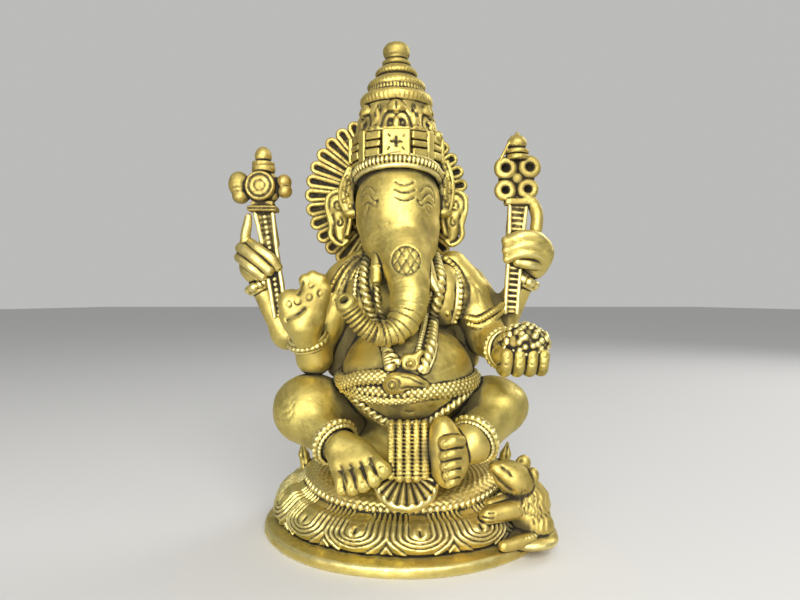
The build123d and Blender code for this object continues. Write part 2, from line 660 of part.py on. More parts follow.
with BuildPart() as pendant:
    spheroid(torso_front(1.2, 53.6) + (0, -0.4, 0), (0.3, 1, 0.2), 2.2, 3.4)
    take_away(torso, right_garland, left_garland, trunk, snake_head, snake_belt)
save(pendant, "pendant")

# ---------------------------------------------------------------- mouse
with BuildPart() as mouse_rock:
    with BuildSketch(Plane.XY.offset(PLATE_WALL_HEIGHT + 0.4)):
        with Locations(Location((32.6, -20.4), 33.0)):
            Ellipse(8.0, 10.0)
    extrude(amount=4.2)
    take_away(base_plate, lotus_pedestal, lotus_petals)
save(mouse_rock, "mouse_rock")

with BuildPart() as mouse:
    limb((33.6, -21.6, 9.4), (35.4, -19.6, 15.0), 6.2, 5.0)
    limb((33.4, -22.2, 18.6), (27.6, -24.0, 22.0), 4.7, 2.8)
    limb((27.6, -24.0, 22.0), (24.6, -24.8, 23.4), 2.8, 1.6)
    limb((32.4, -24.8, 12.8), (22.6, -28.6, 12.0), 2.8, 2.1)
    take_away(mouse_rock, base_plate, lotus_pedestal, lotus_petals, seat_bead_rim, seat_cushion)
save(mouse, "mouse")

with BuildPart() as mouse_ears:
    with Locations((36.4, -23.4, 20.6), (35.0, -17.0, 21.6)):
        Sphere(1.9)
    take_away(mouse)
save(mouse_ears, "mouse_ears", keep=2)

with BuildPart() as mouse_tail:
    cord([(39.0, -20.0, 8.6), (38.0, -25.0, 7.6), (33.0, -28.0, 7.2), (27.6, -30.0, 6.6)], 1.2)
    take_away(mouse, mouse_rock, base_plate, lotus_pedestal, lotus_petals)
save(mouse_tail, "mouse_tail")

# ---------------------------------------------------------------- seat leaves
with BuildPart() as seat_leaves:
    with Locations((-31.0, 2.0, 20.6), (31.0, 2.0, 20.6)):
        Cone(2.6, 0.9, 9.0)
    take_away(seat_cushion, seat_bead_rim, lotus_pedestal, right_leg, left_leg)
save(seat_leaves, "seat_leaves", keep=2)
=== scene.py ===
"""Seated four-armed elephant-headed deity in cast brass, sculpted over its CAD frame.

Every piece is sculpted as a block of signed distances in millimetres and skinned into a closed
mesh. It stays in the frame of the CAD model: +Z up, the figure faces -Y, and the origin is the
centre of the footprint. "right" and "left" are the figure's own sides: its right hand is at -X.
"""

from copy import copy
from math import cos, pi, radians, sin

import bpy
import numpy as np
import openvdb
from mathutils import Matrix, Vector


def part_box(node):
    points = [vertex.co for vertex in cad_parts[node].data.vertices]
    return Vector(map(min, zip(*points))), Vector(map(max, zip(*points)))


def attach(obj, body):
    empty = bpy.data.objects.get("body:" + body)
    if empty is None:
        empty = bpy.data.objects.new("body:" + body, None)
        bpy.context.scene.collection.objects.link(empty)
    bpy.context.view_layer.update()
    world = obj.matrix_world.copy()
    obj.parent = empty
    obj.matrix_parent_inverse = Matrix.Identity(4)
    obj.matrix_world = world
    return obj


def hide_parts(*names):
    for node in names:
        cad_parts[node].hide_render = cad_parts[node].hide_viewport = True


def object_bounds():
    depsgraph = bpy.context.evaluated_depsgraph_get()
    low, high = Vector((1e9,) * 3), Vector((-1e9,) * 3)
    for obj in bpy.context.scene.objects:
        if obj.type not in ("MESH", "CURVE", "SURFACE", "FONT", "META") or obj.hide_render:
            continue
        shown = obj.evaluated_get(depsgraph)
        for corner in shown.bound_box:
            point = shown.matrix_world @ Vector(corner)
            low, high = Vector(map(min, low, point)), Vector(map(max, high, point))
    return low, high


MM = 0.001
# The grid steps of the clays, in millimetres: for chased pieces, for the pedestal and for plain limbs.
FINE = 0.3
MEDIUM = 0.34
SMOOTH = 0.38
FAR = 4.0  # the distance that an empty block holds
CRUMB_FACES = 40  # a loose bit with fewer faces is dropped
UPRIGHT = np.eye(3)

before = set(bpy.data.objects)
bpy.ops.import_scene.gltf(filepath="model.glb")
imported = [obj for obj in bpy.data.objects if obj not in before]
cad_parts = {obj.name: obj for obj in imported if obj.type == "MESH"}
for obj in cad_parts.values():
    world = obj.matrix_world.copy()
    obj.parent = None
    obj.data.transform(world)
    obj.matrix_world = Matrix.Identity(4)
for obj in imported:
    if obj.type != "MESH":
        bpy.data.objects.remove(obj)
cad_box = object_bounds()


# ---------------------------------------------------------------- shapes: low corner, high corner, distance
def vec(*values):
    return np.array(values, float)


def unit(vector):
    vector = np.asarray(vector, float)
    return vector / np.linalg.norm(vector)


def square_pair(axis):
    """Two unit vectors square to an axis and to each other."""
    axis = unit(axis)
    other = vec(0, 0, 1) if abs(axis[2]) < 0.9 else vec(1, 0, 0)
    first = unit(np.cross(other, axis))
    return first, np.cross(axis, first)


def turn_z(degrees):
    return np.array(Matrix.Rotation(radians(degrees), 3, "Z"))


def turn_y(degrees):
    return np.array(Matrix.Rotation(radians(degrees), 3, "Y"))


def turn_x(degrees):
    return np.array(Matrix.Rotation(radians(degrees), 3, "X"))


def local(x, y, z, centre, turn):
    """Coordinates in a turned frame; the frame's axes are the turn's columns."""
    x, y, z = x - centre[0], y - centre[1], z - centre[2]
    return [turn[0][i] * x + turn[1][i] * y + turn[2][i] * z for i in range(3)]


def ball(centre, radius):
    centre = vec(*centre)

    def distance(x, y, z):
        return np.sqrt((x - centre[0]) ** 2 + (y - centre[1]) ** 2 + (z - centre[2]) ** 2) - radius

    return centre - radius, centre + radius, distance


def egg(centre, radii, turn=UPRIGHT):
    centre, radii = vec(*centre), vec(*radii)
    reach = np.abs(turn) @ radii

    def distance(x, y, z):
        px, py, pz = local(x, y, z, centre, turn)
        near = np.sqrt((px / radii[0]) ** 2 + (py / radii[1]) ** 2 + (pz / radii[2]) ** 2) + 1e-6
        steep = np.sqrt((px / radii[0] ** 2) ** 2 + (py / radii[1] ** 2) ** 2
                        + (pz / radii[2] ** 2) ** 2) + 1e-6
        return near * (near - 1) / steep

    return centre - reach, centre + reach, distance


def slab(centre, half, rounding, turn=UPRIGHT):
    centre, half = vec(*centre), vec(*half)
    reach = np.abs(turn) @ half

    def distance(x, y, z):
        parts = [np.abs(p) - (h - rounding) for p, h in zip(local(x, y, z, centre, turn), half)]
        outside = np.sqrt(sum(np.maximum(p, 0) ** 2 for p in parts))
        return outside + np.minimum(np.maximum(np.maximum(parts[0], parts[1]), parts[2]), 0) - rounding

    return centre - reach, centre + reach, distance


def limb(start, end, start_radius, end_radius):
    start, end = vec(*start), vec(*end)
    reach = max(start_radius, end_radius)
    run = end - start
    square = run @ run

    def distance(x, y, z):
        x, y, z = x - start[0], y - start[1], z - start[2]
        along = np.clip((x * run[0] + y * run[1] + z * run[2]) / square, 0, 1)
        away = np.sqrt((x - along * run[0]) ** 2 + (y - along * run[1]) ** 2 + (z - along * run[2]) ** 2)
        return away - start_radius - along * (end_radius - start_radius)

    return np.minimum(start, end) - reach, np.maximum(start, end) + reach, distance


def disc(centre, axis, radius, half_thickness, rounding=0.3):
    centre, axis = vec(*centre), unit(axis)
    reach = radius + half_thickness

    def distance(x, y, z):
        x, y, z = x - centre[0], y - centre[1], z - centre[2]
        along = x * axis[0] + y * axis[1] + z * axis[2]
        out = np.sqrt(np.maximum(x * x + y * y + z * z - along * along, 0)) - radius + rounding
        up = np.abs(along) - half_thickness + rounding
        outside = np.sqrt(np.maximum(out, 0) ** 2 + np.maximum(up, 0) ** 2)
        return outside + np.minimum(np.maximum(out, up), 0) - rounding

    return centre - reach, centre + reach, distance


def hoop(centre, axis, radius, thickness):
    centre, axis = vec(*centre), unit(axis)
    reach = radius + thickness

    def distance(x, y, z):
        x, y, z = x - centre[0], y - centre[1], z - centre[2]
        along = x * axis[0] + y * axis[1] + z * axis[2]
        out = np.sqrt(np.maximum(x * x + y * y + z * z - along * along, 0)) - radius
        return np.sqrt(out * out + along * along) - thickness

    return centre - reach, centre + reach, distance


def outline_distance(radius, height, outline):
    """Signed distance of points at one height from a closed outline of (radius, height) corners."""
    nearest = np.full(radius.shape, 1e6)
    sign = np.ones(radius.shape)
    for (ax, ay), (bx, by) in zip(outline, outline[1:] + outline[:1]):
        ex, ey, wx, wy = bx - ax, by - ay, radius - ax, height - ay
        along = np.clip((wx * ex + wy * ey) / (ex * ex + ey * ey), 0, 1)
        nearest = np.minimum(nearest, (wx - ex * along) ** 2 + (wy - ey * along) ** 2)
        above_a, above_b, left = height >= ay, height < by, ex * wy > ey * wx
        crosses = (above_a & above_b & left) | (~np.array(above_a) & ~np.array(above_b) & ~left)
        sign = np.where(crosses, -sign, sign)
    return sign * np.sqrt(nearest)


def turned(outline, centre=(0, 0), depth_share=1.0, ripple=None):
    """A turned shape about an upright axis, given as (radius, height) corners.

    The ripple is how far the skin is raised at (angle, height).
    """
    widest = max(r for r, _ in outline) + 0.6
    low = vec(centre[0] - widest, centre[1] - widest * depth_share, min(z for _, z in outline))
    high = vec(centre[0] + widest, centre[1] + widest * depth_share, max(z for _, z in outline))
    steps = np.linspace(0, widest + 8, 700)

    def distance(x, y, z):
        x, y = x - centre[0], (y - centre[1]) / depth_share
        radius = np.sqrt(x * x + y * y)[:, :, 0]
        angle = np.arctan2(y, x * np.ones_like(y))[:, :, 0]
        layers = []
        for height in z.ravel():
            raised = ripple(angle, height) if ripple else 0.0
            row = outline_distance(steps, float(height), outline)
            layers.append(np.interp(radius - raised, steps, row))
        return np.stack(layers, axis=2).astype(np.float32)

    return low, high, distance


# ---------------------------------------------------------------- paths
def smooth_path(points, steps=5):
    """A smooth run through points; extra columns, such as a radius, are carried along."""
    points = np.array(points, float)
    padded = np.vstack([2 * points[0] - points[1], points, 2 * points[-1] - points[-2]])
    run = []
    for a, b, c, d in zip(padded, padded[1:], padded[2:], padded[3:]):
        for t in np.arange(steps) / steps:
            run.append(0.5 * (2 * b + (c - a) * t + (2 * a - 5 * b + 4 * c - d) * t**2
                              + (3 * b - a - 3 * c + d) * t**3))
    return np.array(run + [points[-1]])


def even_path(points, count):
    """The same run at evenly spaced places."""
    points = np.array(points, float)
    travel = np.concatenate([[0], np.cumsum(np.linalg.norm(np.diff(points[:, :3], axis=0), axis=1))])
    wanted = np.linspace(0, travel[-1], count)
    return np.stack([np.interp(wanted, travel, column) for column in points.T], axis=1), travel[-1]


def ring_path(centre, axis, radius, count):
    first, second = square_pair(axis)
    angles = np.radians(np.linspace(0, 360, count + 1))
    return np.array([vec(*centre) + radius * (cos(a) * first + sin(a) * second) for a in angles])


def with_radius(points, radius):
    points = np.asarray(points, float)
    return np.hstack([points[:, :3], np.full((len(points), 1), float(radius))])


def spiral(centre, radius, turns):
    """A flat spiral that winds in to a fifth of its radius, as (across, up) offsets."""
    run = []
    for t in np.linspace(0, 1, 26):
        angle = radians(120) + 2 * pi * turns * t
        reach = radius * (1 - 0.8 * t)
        run.append((centre[0] + reach * cos(angle), centre[1] + reach * sin(angle)))
    return run


def smooth_min(a, b, blend):
    if blend <= 0:
        return np.minimum(a, b)
    share = np.clip(0.5 + 0.5 * (b - a) / blend, 0, 1)
    return b + (a - b) * share - blend * share * (1 - share)


def step_up(value, low, high):
    t = np.clip((value - low) / (high - low), 0, 1)
    return t * t * (3 - 2 * t)


# ---------------------------------------------------------------- clay
class Clay:
    """A block of signed distances that one piece is sculpted in."""

    def __init__(self, low, high, grain):
        self.grain = grain
        self.low = np.floor(np.asarray(low, float) / grain) * grain
        size = np.ceil((np.asarray(high, float) - self.low) / grain).astype(int) + 1
        self.axes = [(self.low[i] + grain * np.arange(size[i])).astype(np.float32) for i in range(3)]
        self.field = np.full(size, FAR, np.float32)
        # where dirt and painted shade darken the skin, made when first needed
        self.soot_and_shade = None

    def window(self, low, high):
        """The part of the block between two corners, as slices and open coordinates."""
        cut, coords = [], []
        for i in range(3):
            size = self.field.shape[i]
            first = int(np.clip(np.floor((low[i] - self.low[i]) / self.grain), 0, size))
            last = int(np.clip(np.ceil((high[i] - self.low[i]) / self.grain) + 1, first, size))
            cut.append(slice(first, last))
            coords.append(self.axes[i][first:last].reshape([-1 if j == i else 1 for j in range(3)]))
        return tuple(cut), coords

    def whole(self):
        return self.window(self.low, self.low + self.grain * np.array(self.field.shape))

    def add(self, shape, blend=0.0):
        low, high, distance = shape
        margin = blend + 2 * self.grain + 0.5
        cut, (x, y, z) = self.window(low - margin, high + margin)
        if self.field[cut].size:
            self.field[cut] = smooth_min(self.field[cut], distance(x, y, z), blend)
        return self

    def cut(self, shape, blend=0.0):
        low, high, distance = shape
        margin = blend + 2 * self.grain + 0.5
        cut, (x, y, z) = self.window(low - margin, high + margin)
        if self.field[cut].size:
            self.field[cut] = -smooth_min(-self.field[cut], distance(x, y, z), blend)
        return self

    def keep(self, distance):
        """Keeps only what a distance rule over the whole block holds."""
        _, (x, y, z) = self.whole()
        self.field = np.maximum(self.field, distance(x, y, z)).astype(np.float32)
        return self

    def raise_skin(self, height):
        """Moves the skin out by a height that varies over the block."""
        _, (x, y, z) = self.whole()
        self.field = (self.field - height(x, y, z)).astype(np.float32)
        return self

    def line(self, points, width, height):
        """Raises a ridge along a line near the skin. A negative height sinks a groove, which gathers dirt."""
        points = np.asarray(points, float)[:, :3]
        cut, _ = self.window(points.min(0) - width, points.max(0) + width)
        nearest = np.full(self.field[cut].shape, FAR, np.float32)
        for a, b in zip(points, points[1:]):
            sub, (x, y, z) = self.window(np.minimum(a, b) - width, np.maximum(a, b) + width)
            inner = tuple(slice(s.start - c.start, s.stop - c.start) for s, c in zip(sub, cut))
            if nearest[inner].size:
                nearest[inner] = np.minimum(nearest[inner], limb(a, b + 1e-6, 0.0, 0.0)[2](x, y, z))
        self.field[cut] -= (height * np.exp(-((2 * nearest / width) ** 2))).astype(np.float32)
        if height < 0:
            self.darken_with_dirt_and_shade(cut, np.exp(-((2.5 * nearest / width) ** 2)) * min(1.0, -2.2 * height))
        return self

    def tube(self, path, radius=None, raised=None, blend=0.0):
        """Adds a tube along points, of one radius or with a radius as each point's fourth number.

        `raised` gives the skin's extra height at (travel, angle).
        """
        path = np.asarray(path, float) if radius is None else with_radius(path, radius)
        widest = path[:, 3].max() + 0.8 + blend
        cut, _ = self.window(path[:, :3].min(0) - widest, path[:, :3].max(0) + widest)
        layer = np.full(self.field[cut].shape, FAR, np.float32)
        extra = np.zeros(layer.shape, np.float32)
        side, travel = None, 0.0
        for a, b in zip(path, path[1:]):
            run = b[:3] - a[:3]
            length = np.linalg.norm(run)
            if length < 1e-6:
                continue
            ahead = run / length
            side = square_pair(ahead)[0] if side is None else unit(side - ahead * (side @ ahead))
            up = np.cross(ahead, side)
            reach = max(a[3], b[3]) + 0.8 + blend
            sub, (x, y, z) = self.window(np.minimum(a[:3], b[:3]) - reach, np.maximum(a[:3], b[:3]) + reach)
            inner = tuple(slice(s.start - c.start, s.stop - c.start) for s, c in zip(sub, cut))
            if layer[inner].size:
                x, y, z = x - a[0], y - a[1], z - a[2]
                along = np.clip(x * ahead[0] + y * ahead[1] + z * ahead[2], 0, length)
                x, y, z = x - along * ahead[0], y - along * ahead[1], z - along * ahead[2]
                away = np.sqrt(x * x + y * y + z * z) - (a[3] + (b[3] - a[3]) * along / length)
                if raised:
                    nearer = away < layer[inner]
                    angle = np.arctan2(x * up[0] + y * up[1] + z * up[2],
                                       x * side[0] + y * side[1] + z * side[2])
                    extra[inner] = np.where(nearer, raised(travel + along, angle), extra[inner])
                layer[inner] = np.minimum(layer[inner], away)
            travel += length
        self.field[cut] = smooth_min(self.field[cut], layer - extra, blend)
        return self

    def beads(self, points, radius, pitch):
        """Strings beads along a run at about the pitch."""
        length = even_path(points, 2)[1]
        places, _ = even_path(points, max(2, int(round(length / pitch)) + 1))
        for place in places:
            self.add(ball(place[:3], radius))
        return self

    def skin_at(self, x, z, behind=False):
        """The y of the front skin, or of the skin behind, at x and z."""
        i = int(np.clip(round((x - self.low[0]) / self.grain), 0, self.field.shape[0] - 1))
        k = int(np.clip(round((z - self.low[2]) / self.grain), 0, self.field.shape[2] - 1))
        column, ys = self.field[i, :, k], self.axes[1]
        if behind:
            column, ys = column[::-1], ys[::-1]
        inside = np.flatnonzero(column < 0)
        if not len(inside):
            return None
        j = inside[0]
        if j == 0:
            return float(ys[0])
        share = column[j - 1] / (column[j - 1] - column[j])
        return float(ys[j - 1] + (ys[j] - ys[j - 1]) * share)

    def lay(self, points, lift=0.0, behind=False):
        """Lays (x, z) points on the front skin, or on the skin behind, and lifts them off it."""
        run, last = [], None
        for x, z in points:
            y = self.skin_at(x, z, behind)
            last = last if y is None else y
            if last is not None:
                run.append((x, last + (lift if behind else -lift), z))
        return np.array(run, float)

    def etch(self, points, width, height, steps=0):
        """Cuts or raises a line through (x, z) points on the front skin, rounded if steps are given."""
        run = self.lay(points)
        return self.line(smooth_path(run, steps) if steps else run, width, height)

    def droop(self, fall):
        """Lowers the clay by a fall that depends on the place."""
        _, (x, y, z) = self.whole()
        spot = np.clip((z + fall(x, y, z) - self.low[2]) / self.grain, 0, self.field.shape[2] - 1.001)
        cell = spot.astype(int)
        part = (spot - cell).astype(np.float32)
        lower, upper = np.take_along_axis(self.field, cell, 2), np.take_along_axis(self.field, cell + 1, 2)
        self.field = lower * (1 - part) + upper * part
        return self

    def darken_with_dirt_and_shade(self, cut, dirt_and_shade):
        """Notes where the skin is darkened by dirt and painted shade, from 0 to 1."""
        if self.soot_and_shade is None:
            self.soot_and_shade = np.zeros(self.field.shape, np.float32)
        self.soot_and_shade[cut] = np.maximum(self.soot_and_shade[cut], dirt_and_shade)


made = {}


def noted(node, slot, clay):
    """Notes the clay of the piece that stands for a CAD node, and its material slot."""
    made[node] = (clay, slot)
    return clay


def box_of(node):
    """The corners of a CAD node in millimetres."""
    low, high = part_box(node)
    return np.array(low) / MM, np.array(high) / MM


def part_of(clay, node, slot, keep):
    """Notes a second piece cut out of a clay: what a rule keeps of it."""
    return noted(node, slot, copy(clay).keep(keep))


def block(node, slot, grain=FINE, margin=2.4, below=0, above=0):
    """Clay for one piece, around its CAD node, with more room below and above where asked."""
    low, high = box_of(node)
    return noted(node, slot, Clay(low - margin - (0, 0, below), high + margin + (0, 0, above), grain))


def ribs(pitch, depth, power=4):
    """Rounded ribs around a tube: sunk between them by `depth`."""
    return lambda travel, angle: -depth * np.abs(np.cos(pi * travel / pitch)) ** power


def twist(pitch, depth):
    """The lay of a cord twisted from two strands."""
    return lambda travel, angle: depth * np.cos(2 * angle + 2 * pi * travel / pitch)


# ---------------------------------------------------------------- pedestal and seat
BASE_HIGH = box_of("base_plate")[1]
BASE_RADIUS = BASE_HIGH[0]
SHARE = BASE_HIGH[1] / BASE_HIGH[0]  # the pedestal's depth as a share of its width
PETAL_STEP = 2 * pi / 14
FIRST_PETAL = radians(-84.5)
MOUSE_PETAL = 2  # the place of the petal that the mouse takes
RIM_HEIGHT = 16
MOUND = [(38.3, 4.3), (39.5, 5.2), (39.9, 6.8), (39.4, 8.8), (37.8, 11.2), (35.4, 13.4), (33, 15),
         (31, RIM_HEIGHT)]
MOUND_INSIDE = [(0, RIM_HEIGHT), (0, 13), (30, 13), (33.6, 11.4), (35.8, 7.4), (35.6, 4.3)]


def base_plate():
    clay = block("base_plate", "pedestal", SMOOTH)
    r = BASE_RADIUS
    outline = [(35.6, 0), (r - 0.5, 0), (r - 0.05, 0.5), (r, 1.4), (r - 0.1, 2.5), (r - 0.6, 3),
               (r - 2.6, 3.4), (r - 4.6, 3.9), (r - 6.4, 4.4), (35.6, 4.4)]
    clay.add(turned(outline, depth_share=SHARE,
                    ripple=lambda a, h: 0.14 * np.sin(3 * a + 1) + 0.1 * np.sin(8 * a)))


def petal_reach(x, y, z):
    """Where a place lies on the nearest petal: how far from its upright centre line, measured round its
    U-shaped foot, how far above the foot's centre, and how far across."""
    y = y / SHARE
    radius = np.sqrt(x * x + y * y)
    turn = np.mod(np.arctan2(y, x) - FIRST_PETAL + PETAL_STEP / 2, PETAL_STEP) - PETAL_STEP / 2
    across = turn * 39.5
    up = (z - 4.2) + (40 - radius) - 8.4
    return np.sqrt(across**2 + np.minimum(up, 0) ** 2), up, across


def petal_lines(reach, up, across):
    """Nested U-shaped lines, and the tear in the middle of a petal."""
    outer = 0.5 * np.cos(2 * pi * (reach - 3.7) / 1.75) * step_up(reach, 2.4, 3.2)
    heart = 0.45 * np.exp(-(((reach - 1.5) / 0.6) ** 2)) * step_up(-up, -5, -2)
    vein = -0.7 * np.exp(-((across / 0.5) ** 2)) * step_up(-up, -3.4, -1) * step_up(up, -2.6, -1.4)
    return outer + heart + vein


def seat_fall(x, y, z):
    """How far the seat and the top of the mound sag towards the front."""
    return 3.2 * step_up(-y, 2, 29) * step_up(z, 5, 13) + 0 * x


def lotus_pedestal():
    clay = block("lotus_pedestal", "pedestal", MEDIUM)
    clay.add(turned(MOUND + MOUND_INSIDE, depth_share=SHARE))

    def relief(x, y, z):
        reach, up, across = petal_reach(x, y, z)
        outside = step_up(np.sqrt(x * x + (y / SHARE) ** 2), 30.2, 31.6)
        return (petal_lines(reach, up, across) - 0.15) * outside

    clay.raise_skin(relief)
    clay.droop(seat_fall)


def lotus_petals():
    clay = block("lotus_petals", "pedestal", MEDIUM)
    clay.add(turned(MOUND + [(0, RIM_HEIGHT), (0, 4.3)], depth_share=SHARE))
    mound = clay.field

    def relief(x, y, z):
        reach, up, across = petal_reach(x, y, z)
        swell = np.sqrt(np.maximum(1 - (reach / 9.3) ** 2, 0)) + 0.15
        number = np.round((np.arctan2(y / SHARE, x) - FIRST_PETAL) / PETAL_STEP)
        absent = np.abs(number - MOUSE_PETAL) < 0.5
        return (swell + 0.7) * step_up(-up, -10.5, -5.5) - 0.7 + petal_lines(reach, up, across) - 3 * absent

    clay.raise_skin(relief)
    clay.field = np.maximum(clay.field, -(mound + 1.4))
    clay.droop(seat_fall)
    clay.keep(lambda x, y, z: 4.6 - z)


def seat_cushion():
    clay = block("seat_cushion", "pedestal", MEDIUM, below=4)
    outline = [(0, 14.5), (31.4, 14.5), (31.6, 16.4), (31, 18.2), (29.6, 19.4), (28, 20), (0, 20)]

    def stitches(angle, height):
        return 0.18 * np.cos(90 * angle) * np.cos(2 * pi * height / 1.5 + 1)

    clay.add(turned(outline, depth_share=SHARE, ripple=stitches))

    def relief(x, y, z):
        radius, angle = np.sqrt(x * x + (y / SHARE) ** 2), np.arctan2(y, x)
        weave = 0.2 * np.cos(2 * pi * radius / 1.7) * np.cos(70 * angle)
        return weave * step_up(radius, 18, 20) * step_up(z, 19.2, 19.8)

    clay.raise_skin(relief)
    clay.droop(seat_fall)


def seat_bead_rim():
    clay = block("seat_bead_rim", "pedestal", below=4, margin=3)
    wide, deep = box_of("seat_bead_rim")[1][:2] - 0.8
    angles = np.linspace(0, 2 * pi, 181)
    fall = 3 * step_up(-deep * np.sin(angles), 2, 29)
    run = np.stack([wide * np.cos(angles), deep * np.sin(angles), 16.5 - fall], axis=1)
    clay.tube(run, 1.15, ribs(1.9, 0.7, 5))
    clay.tube(run * (1.015, 1.015, 1) - (0, 0, 1.3), 0.5, ribs(0.9, 0.2, 2))


def seat_leaves():
    clay = block("seat_leaves", "pedestal", margin=2)
    for side in (-1, 1):
        foot = vec(31.2 * side, 1.4, 17)
        clay.add(limb(foot, foot + (0.9 * side, -0.6, 4), 2, 1.6))
        clay.add(limb(foot + (0.9 * side, -0.6, 4), foot + (1.5 * side, -1, 7.6), 1.7, 0.4), 0.6)
        clay.line([foot + (0.6 * side, -2, 0.5), foot + (side, -2.3, 4.4),
                   foot + (1.4 * side, -1.4, 6.6)], 0.9, -0.6)


# ---------------------------------------------------------------- torso and its ornaments
def torso():
    clay = noted("torso", "body", Clay((-30, -31.5, 15.5), (30, 19, 91), SMOOTH))
    clay.add(egg((0.5, 0.5, 28), (21.5, 17.5, 12)))
    clay.add(egg((0.8, -8.4, 47.4), (19.8, 20.6, 16.4)), 3.5)
    clay.add(egg((-0.2, -1.6, 69.5), (19.6, 11.6, 15)), 4)
    clay.add(limb((-16, -1, 77), (15.6, -1, 77), 6.2, 6.2), 4)
    clay.add(limb((-1.4, -2.4, 78), (-1.6, -3, 88), 10, 8.6), 3)
    clay.add(limb((-16.5, -1, 70), (-20, -2.5, 50), 5.6, 4.6), 1.5)
    clay.add(limb((16, -1, 70), (19.6, -2.5, 52), 4.8, 3.6), 1.5)
    clay.add(egg((-10.2, -8.4, 70.5), (8.2, 6.8, 9)), 1.4)
    clay.add(egg((11.4, -8.4, 71.4), (6.4, 6.8, 9.6)), 1)
    for x in (-12.4, 12.6):
        front = clay.lay([(x, 66)])[0]
        clay.add(ball(front + (0, 0.15, 0), 0.75), 0.2)
        clay.line(ring_path(front, (0.3, -1, 0), 1.3, 16), 0.6, -0.22)
    clay.etch([(6.6, 63.4), (9, 62.2), (12.4, 61.8), (16, 62.8)], 1.3, -0.7, 4)
    clay.etch([(3.4, 49.8), (8, 50.4), (12.8, 51.6), (16.8, 53.4)], 0.7, -0.14, 4)
    clay.etch([(0.2, 39.6), (1, 39.2), (2, 39.5)], 0.9, -0.6)
    spine = smooth_path(clay.lay([(-0.6, 84), (-0.4, 74), (0, 62), (0.4, 48), (0.4, 36)], behind=True))
    clay.line(spine, 3.2, -0.16)
    return clay


def worn_on(body, points, lift):
    """A smooth run through (x, z) points, lifted off the body's front."""
    return smooth_path(body.lay(points, lift), 6)


def right_garland(body):
    clay = block("right_garland", "jewellery", margin=4.5)
    rope = worn_on(body, [(-11.2, 84), (-12.4, 77), (-11.2, 70), (-8.6, 63.5), (-5.6, 57), (-2.4, 53)], 0.5)
    clay.tube(rope, 1.25, twist(2.2, 0.28))
    inner = worn_on(body, [(-8.4, 80), (-8.2, 72), (-6.6, 64), (-4.6, 57.5)], 0.5)
    clay.tube(inner, 0.85, twist(1.8, 0.2))
    clay.beads(worn_on(body, [(-11.4, 84), (-14.4, 77), (-14.6, 69), (-12.6, 62.5)], 0.4), 0.75, 1.5)
    tassel = body.lay([(-5.6, 57.4), (-4.2, 52)], 0.9)
    clay.tube(np.hstack([tassel, [[1.3], [1.8]]]), raised=ribs(0.95, 0.5, 3))


def left_garland(body):
    clay = block("left_garland", "jewellery", margin=4.5)
    rope = worn_on(body, [(9.4, 84), (10.2, 77), (9.6, 70.5), (8.4, 64), (7, 57.5), (4.8, 51.6)], 0.5)
    clay.tube(rope, 1.45, twist(2.2, 0.28))
    clay.tube(worn_on(body, [(7.6, 72), (6.4, 66), (4.6, 60), (3.2, 55)], 0.5), 0.9, ribs(1.1, 0.3, 2))


def sacred_thread(body):
    clay = block("sacred_thread", "jewellery", margin=7)
    run = worn_on(body, [(13.8, 81), (15.4, 75), (15.2, 68.5), (14, 63.5)], 0.3)
    clay.tube(run, 0.7)
    clay.beads(run + (0.9, 0, 0), 0.8, 1.6)
    hem = worn_on(body, [(7.2, 57.8), (6.2, 54), (4.4, 50.6)], 0.3)
    clay.tube(hem + (1.5, 0.3, 0), 0.45)


def pendant(body):
    clay = block("pendant", "jewellery", margin=4)
    front = body.lay([(1.4, 53)])[0]
    clay.add(egg(front, (3, 1.3, 2.5), turn_y(20)))
    clay.add(limb(front + (-1.2, -0.1, -0.8), front + (2.6, 0.1, 2.8), 1.3, 0.9), 0.6)
    clay.line(ring_path(front + (0, -1.2, 0), (0, 1, 0), 1.35, 20), 0.6, -0.35)
    clay.add(ball(front + (0, -1.3, 0), 0.72), 0.1)


def scales(travel, angle):
    """Two crossing sets of diagonal lines, as chased snake scales."""
    along, around = pi * travel / 1.6, 3.5 * angle
    return 0.5 * np.minimum(np.abs(np.sin(along + around)), np.abs(np.sin(along - around))) - 0.2


def snake_belt():
    clay = block("snake_belt", "jewellery", margin=3.4)
    run = ring_path((0.8, -8, 46.6), (0, -0.07, 1), 19.9, 90)
    clay.tube(run, 2.35, scales)
    coil = smooth_path([(-19.2, -12, 46), (-17, -19.5, 46.4), (-12.6, -25, 48.4), (-7.4, -27.9, 49.2),
                        (-2.4, -28.8, 48.6)], 6)
    clay.tube(coil, 1.95, scales)
    lower = smooth_path([(-17.6, -18, 44.6), (-12.2, -24.6, 43.4), (-6, -27.8, 42.9), (1, -28.6, 43.4),
                         (6.5, -27.6, 44.4)], 6)
    clay.tube(lower, 1.25, scales)


def snake_head():
    clay = block("snake_head", "jewellery", margin=3.4)
    clay.add(limb((-3.2, -29, 47.6), (4.8, -28.6, 46.8), 3.1, 1.7))
    clay.add(egg((0.4, -30, 48.4), (4.6, 2, 2), turn_y(8)), 1)
    eye = vec(-3.6, clay.skin_at(-3.6, 47.6), 47.6)
    clay.add(ball(eye + (0, 0.5, 0), 1.75), 0.4)
    clay.line(ring_path(eye + (0, -0.9, 0), (0, 1, 0), 1.2, 20), 0.9, -0.5)
    clay.line(ring_path(eye + (0, 0.2, 0), (0, 1, 0), 2.2, 30), 0.7, -0.35)
    clay.add(ball(eye + (0, -0.95, 0), 0.62), 0.05)
    clay.etch([(0.4, 45.4), (2.2, 45.9), (4, 46.1), (6.2, 46)], 1.5, -1.1)
    clay.etch([(-0.8, 49.9), (1.2, 49.5), (3, 48.3), (5.4, 47.2)], 0.7, -0.35)
    clay.etch([(-1.2, 46.4), (0.6, 46.9), (3, 46.7), (5.6, 46.2)], 0.9, -0.5)


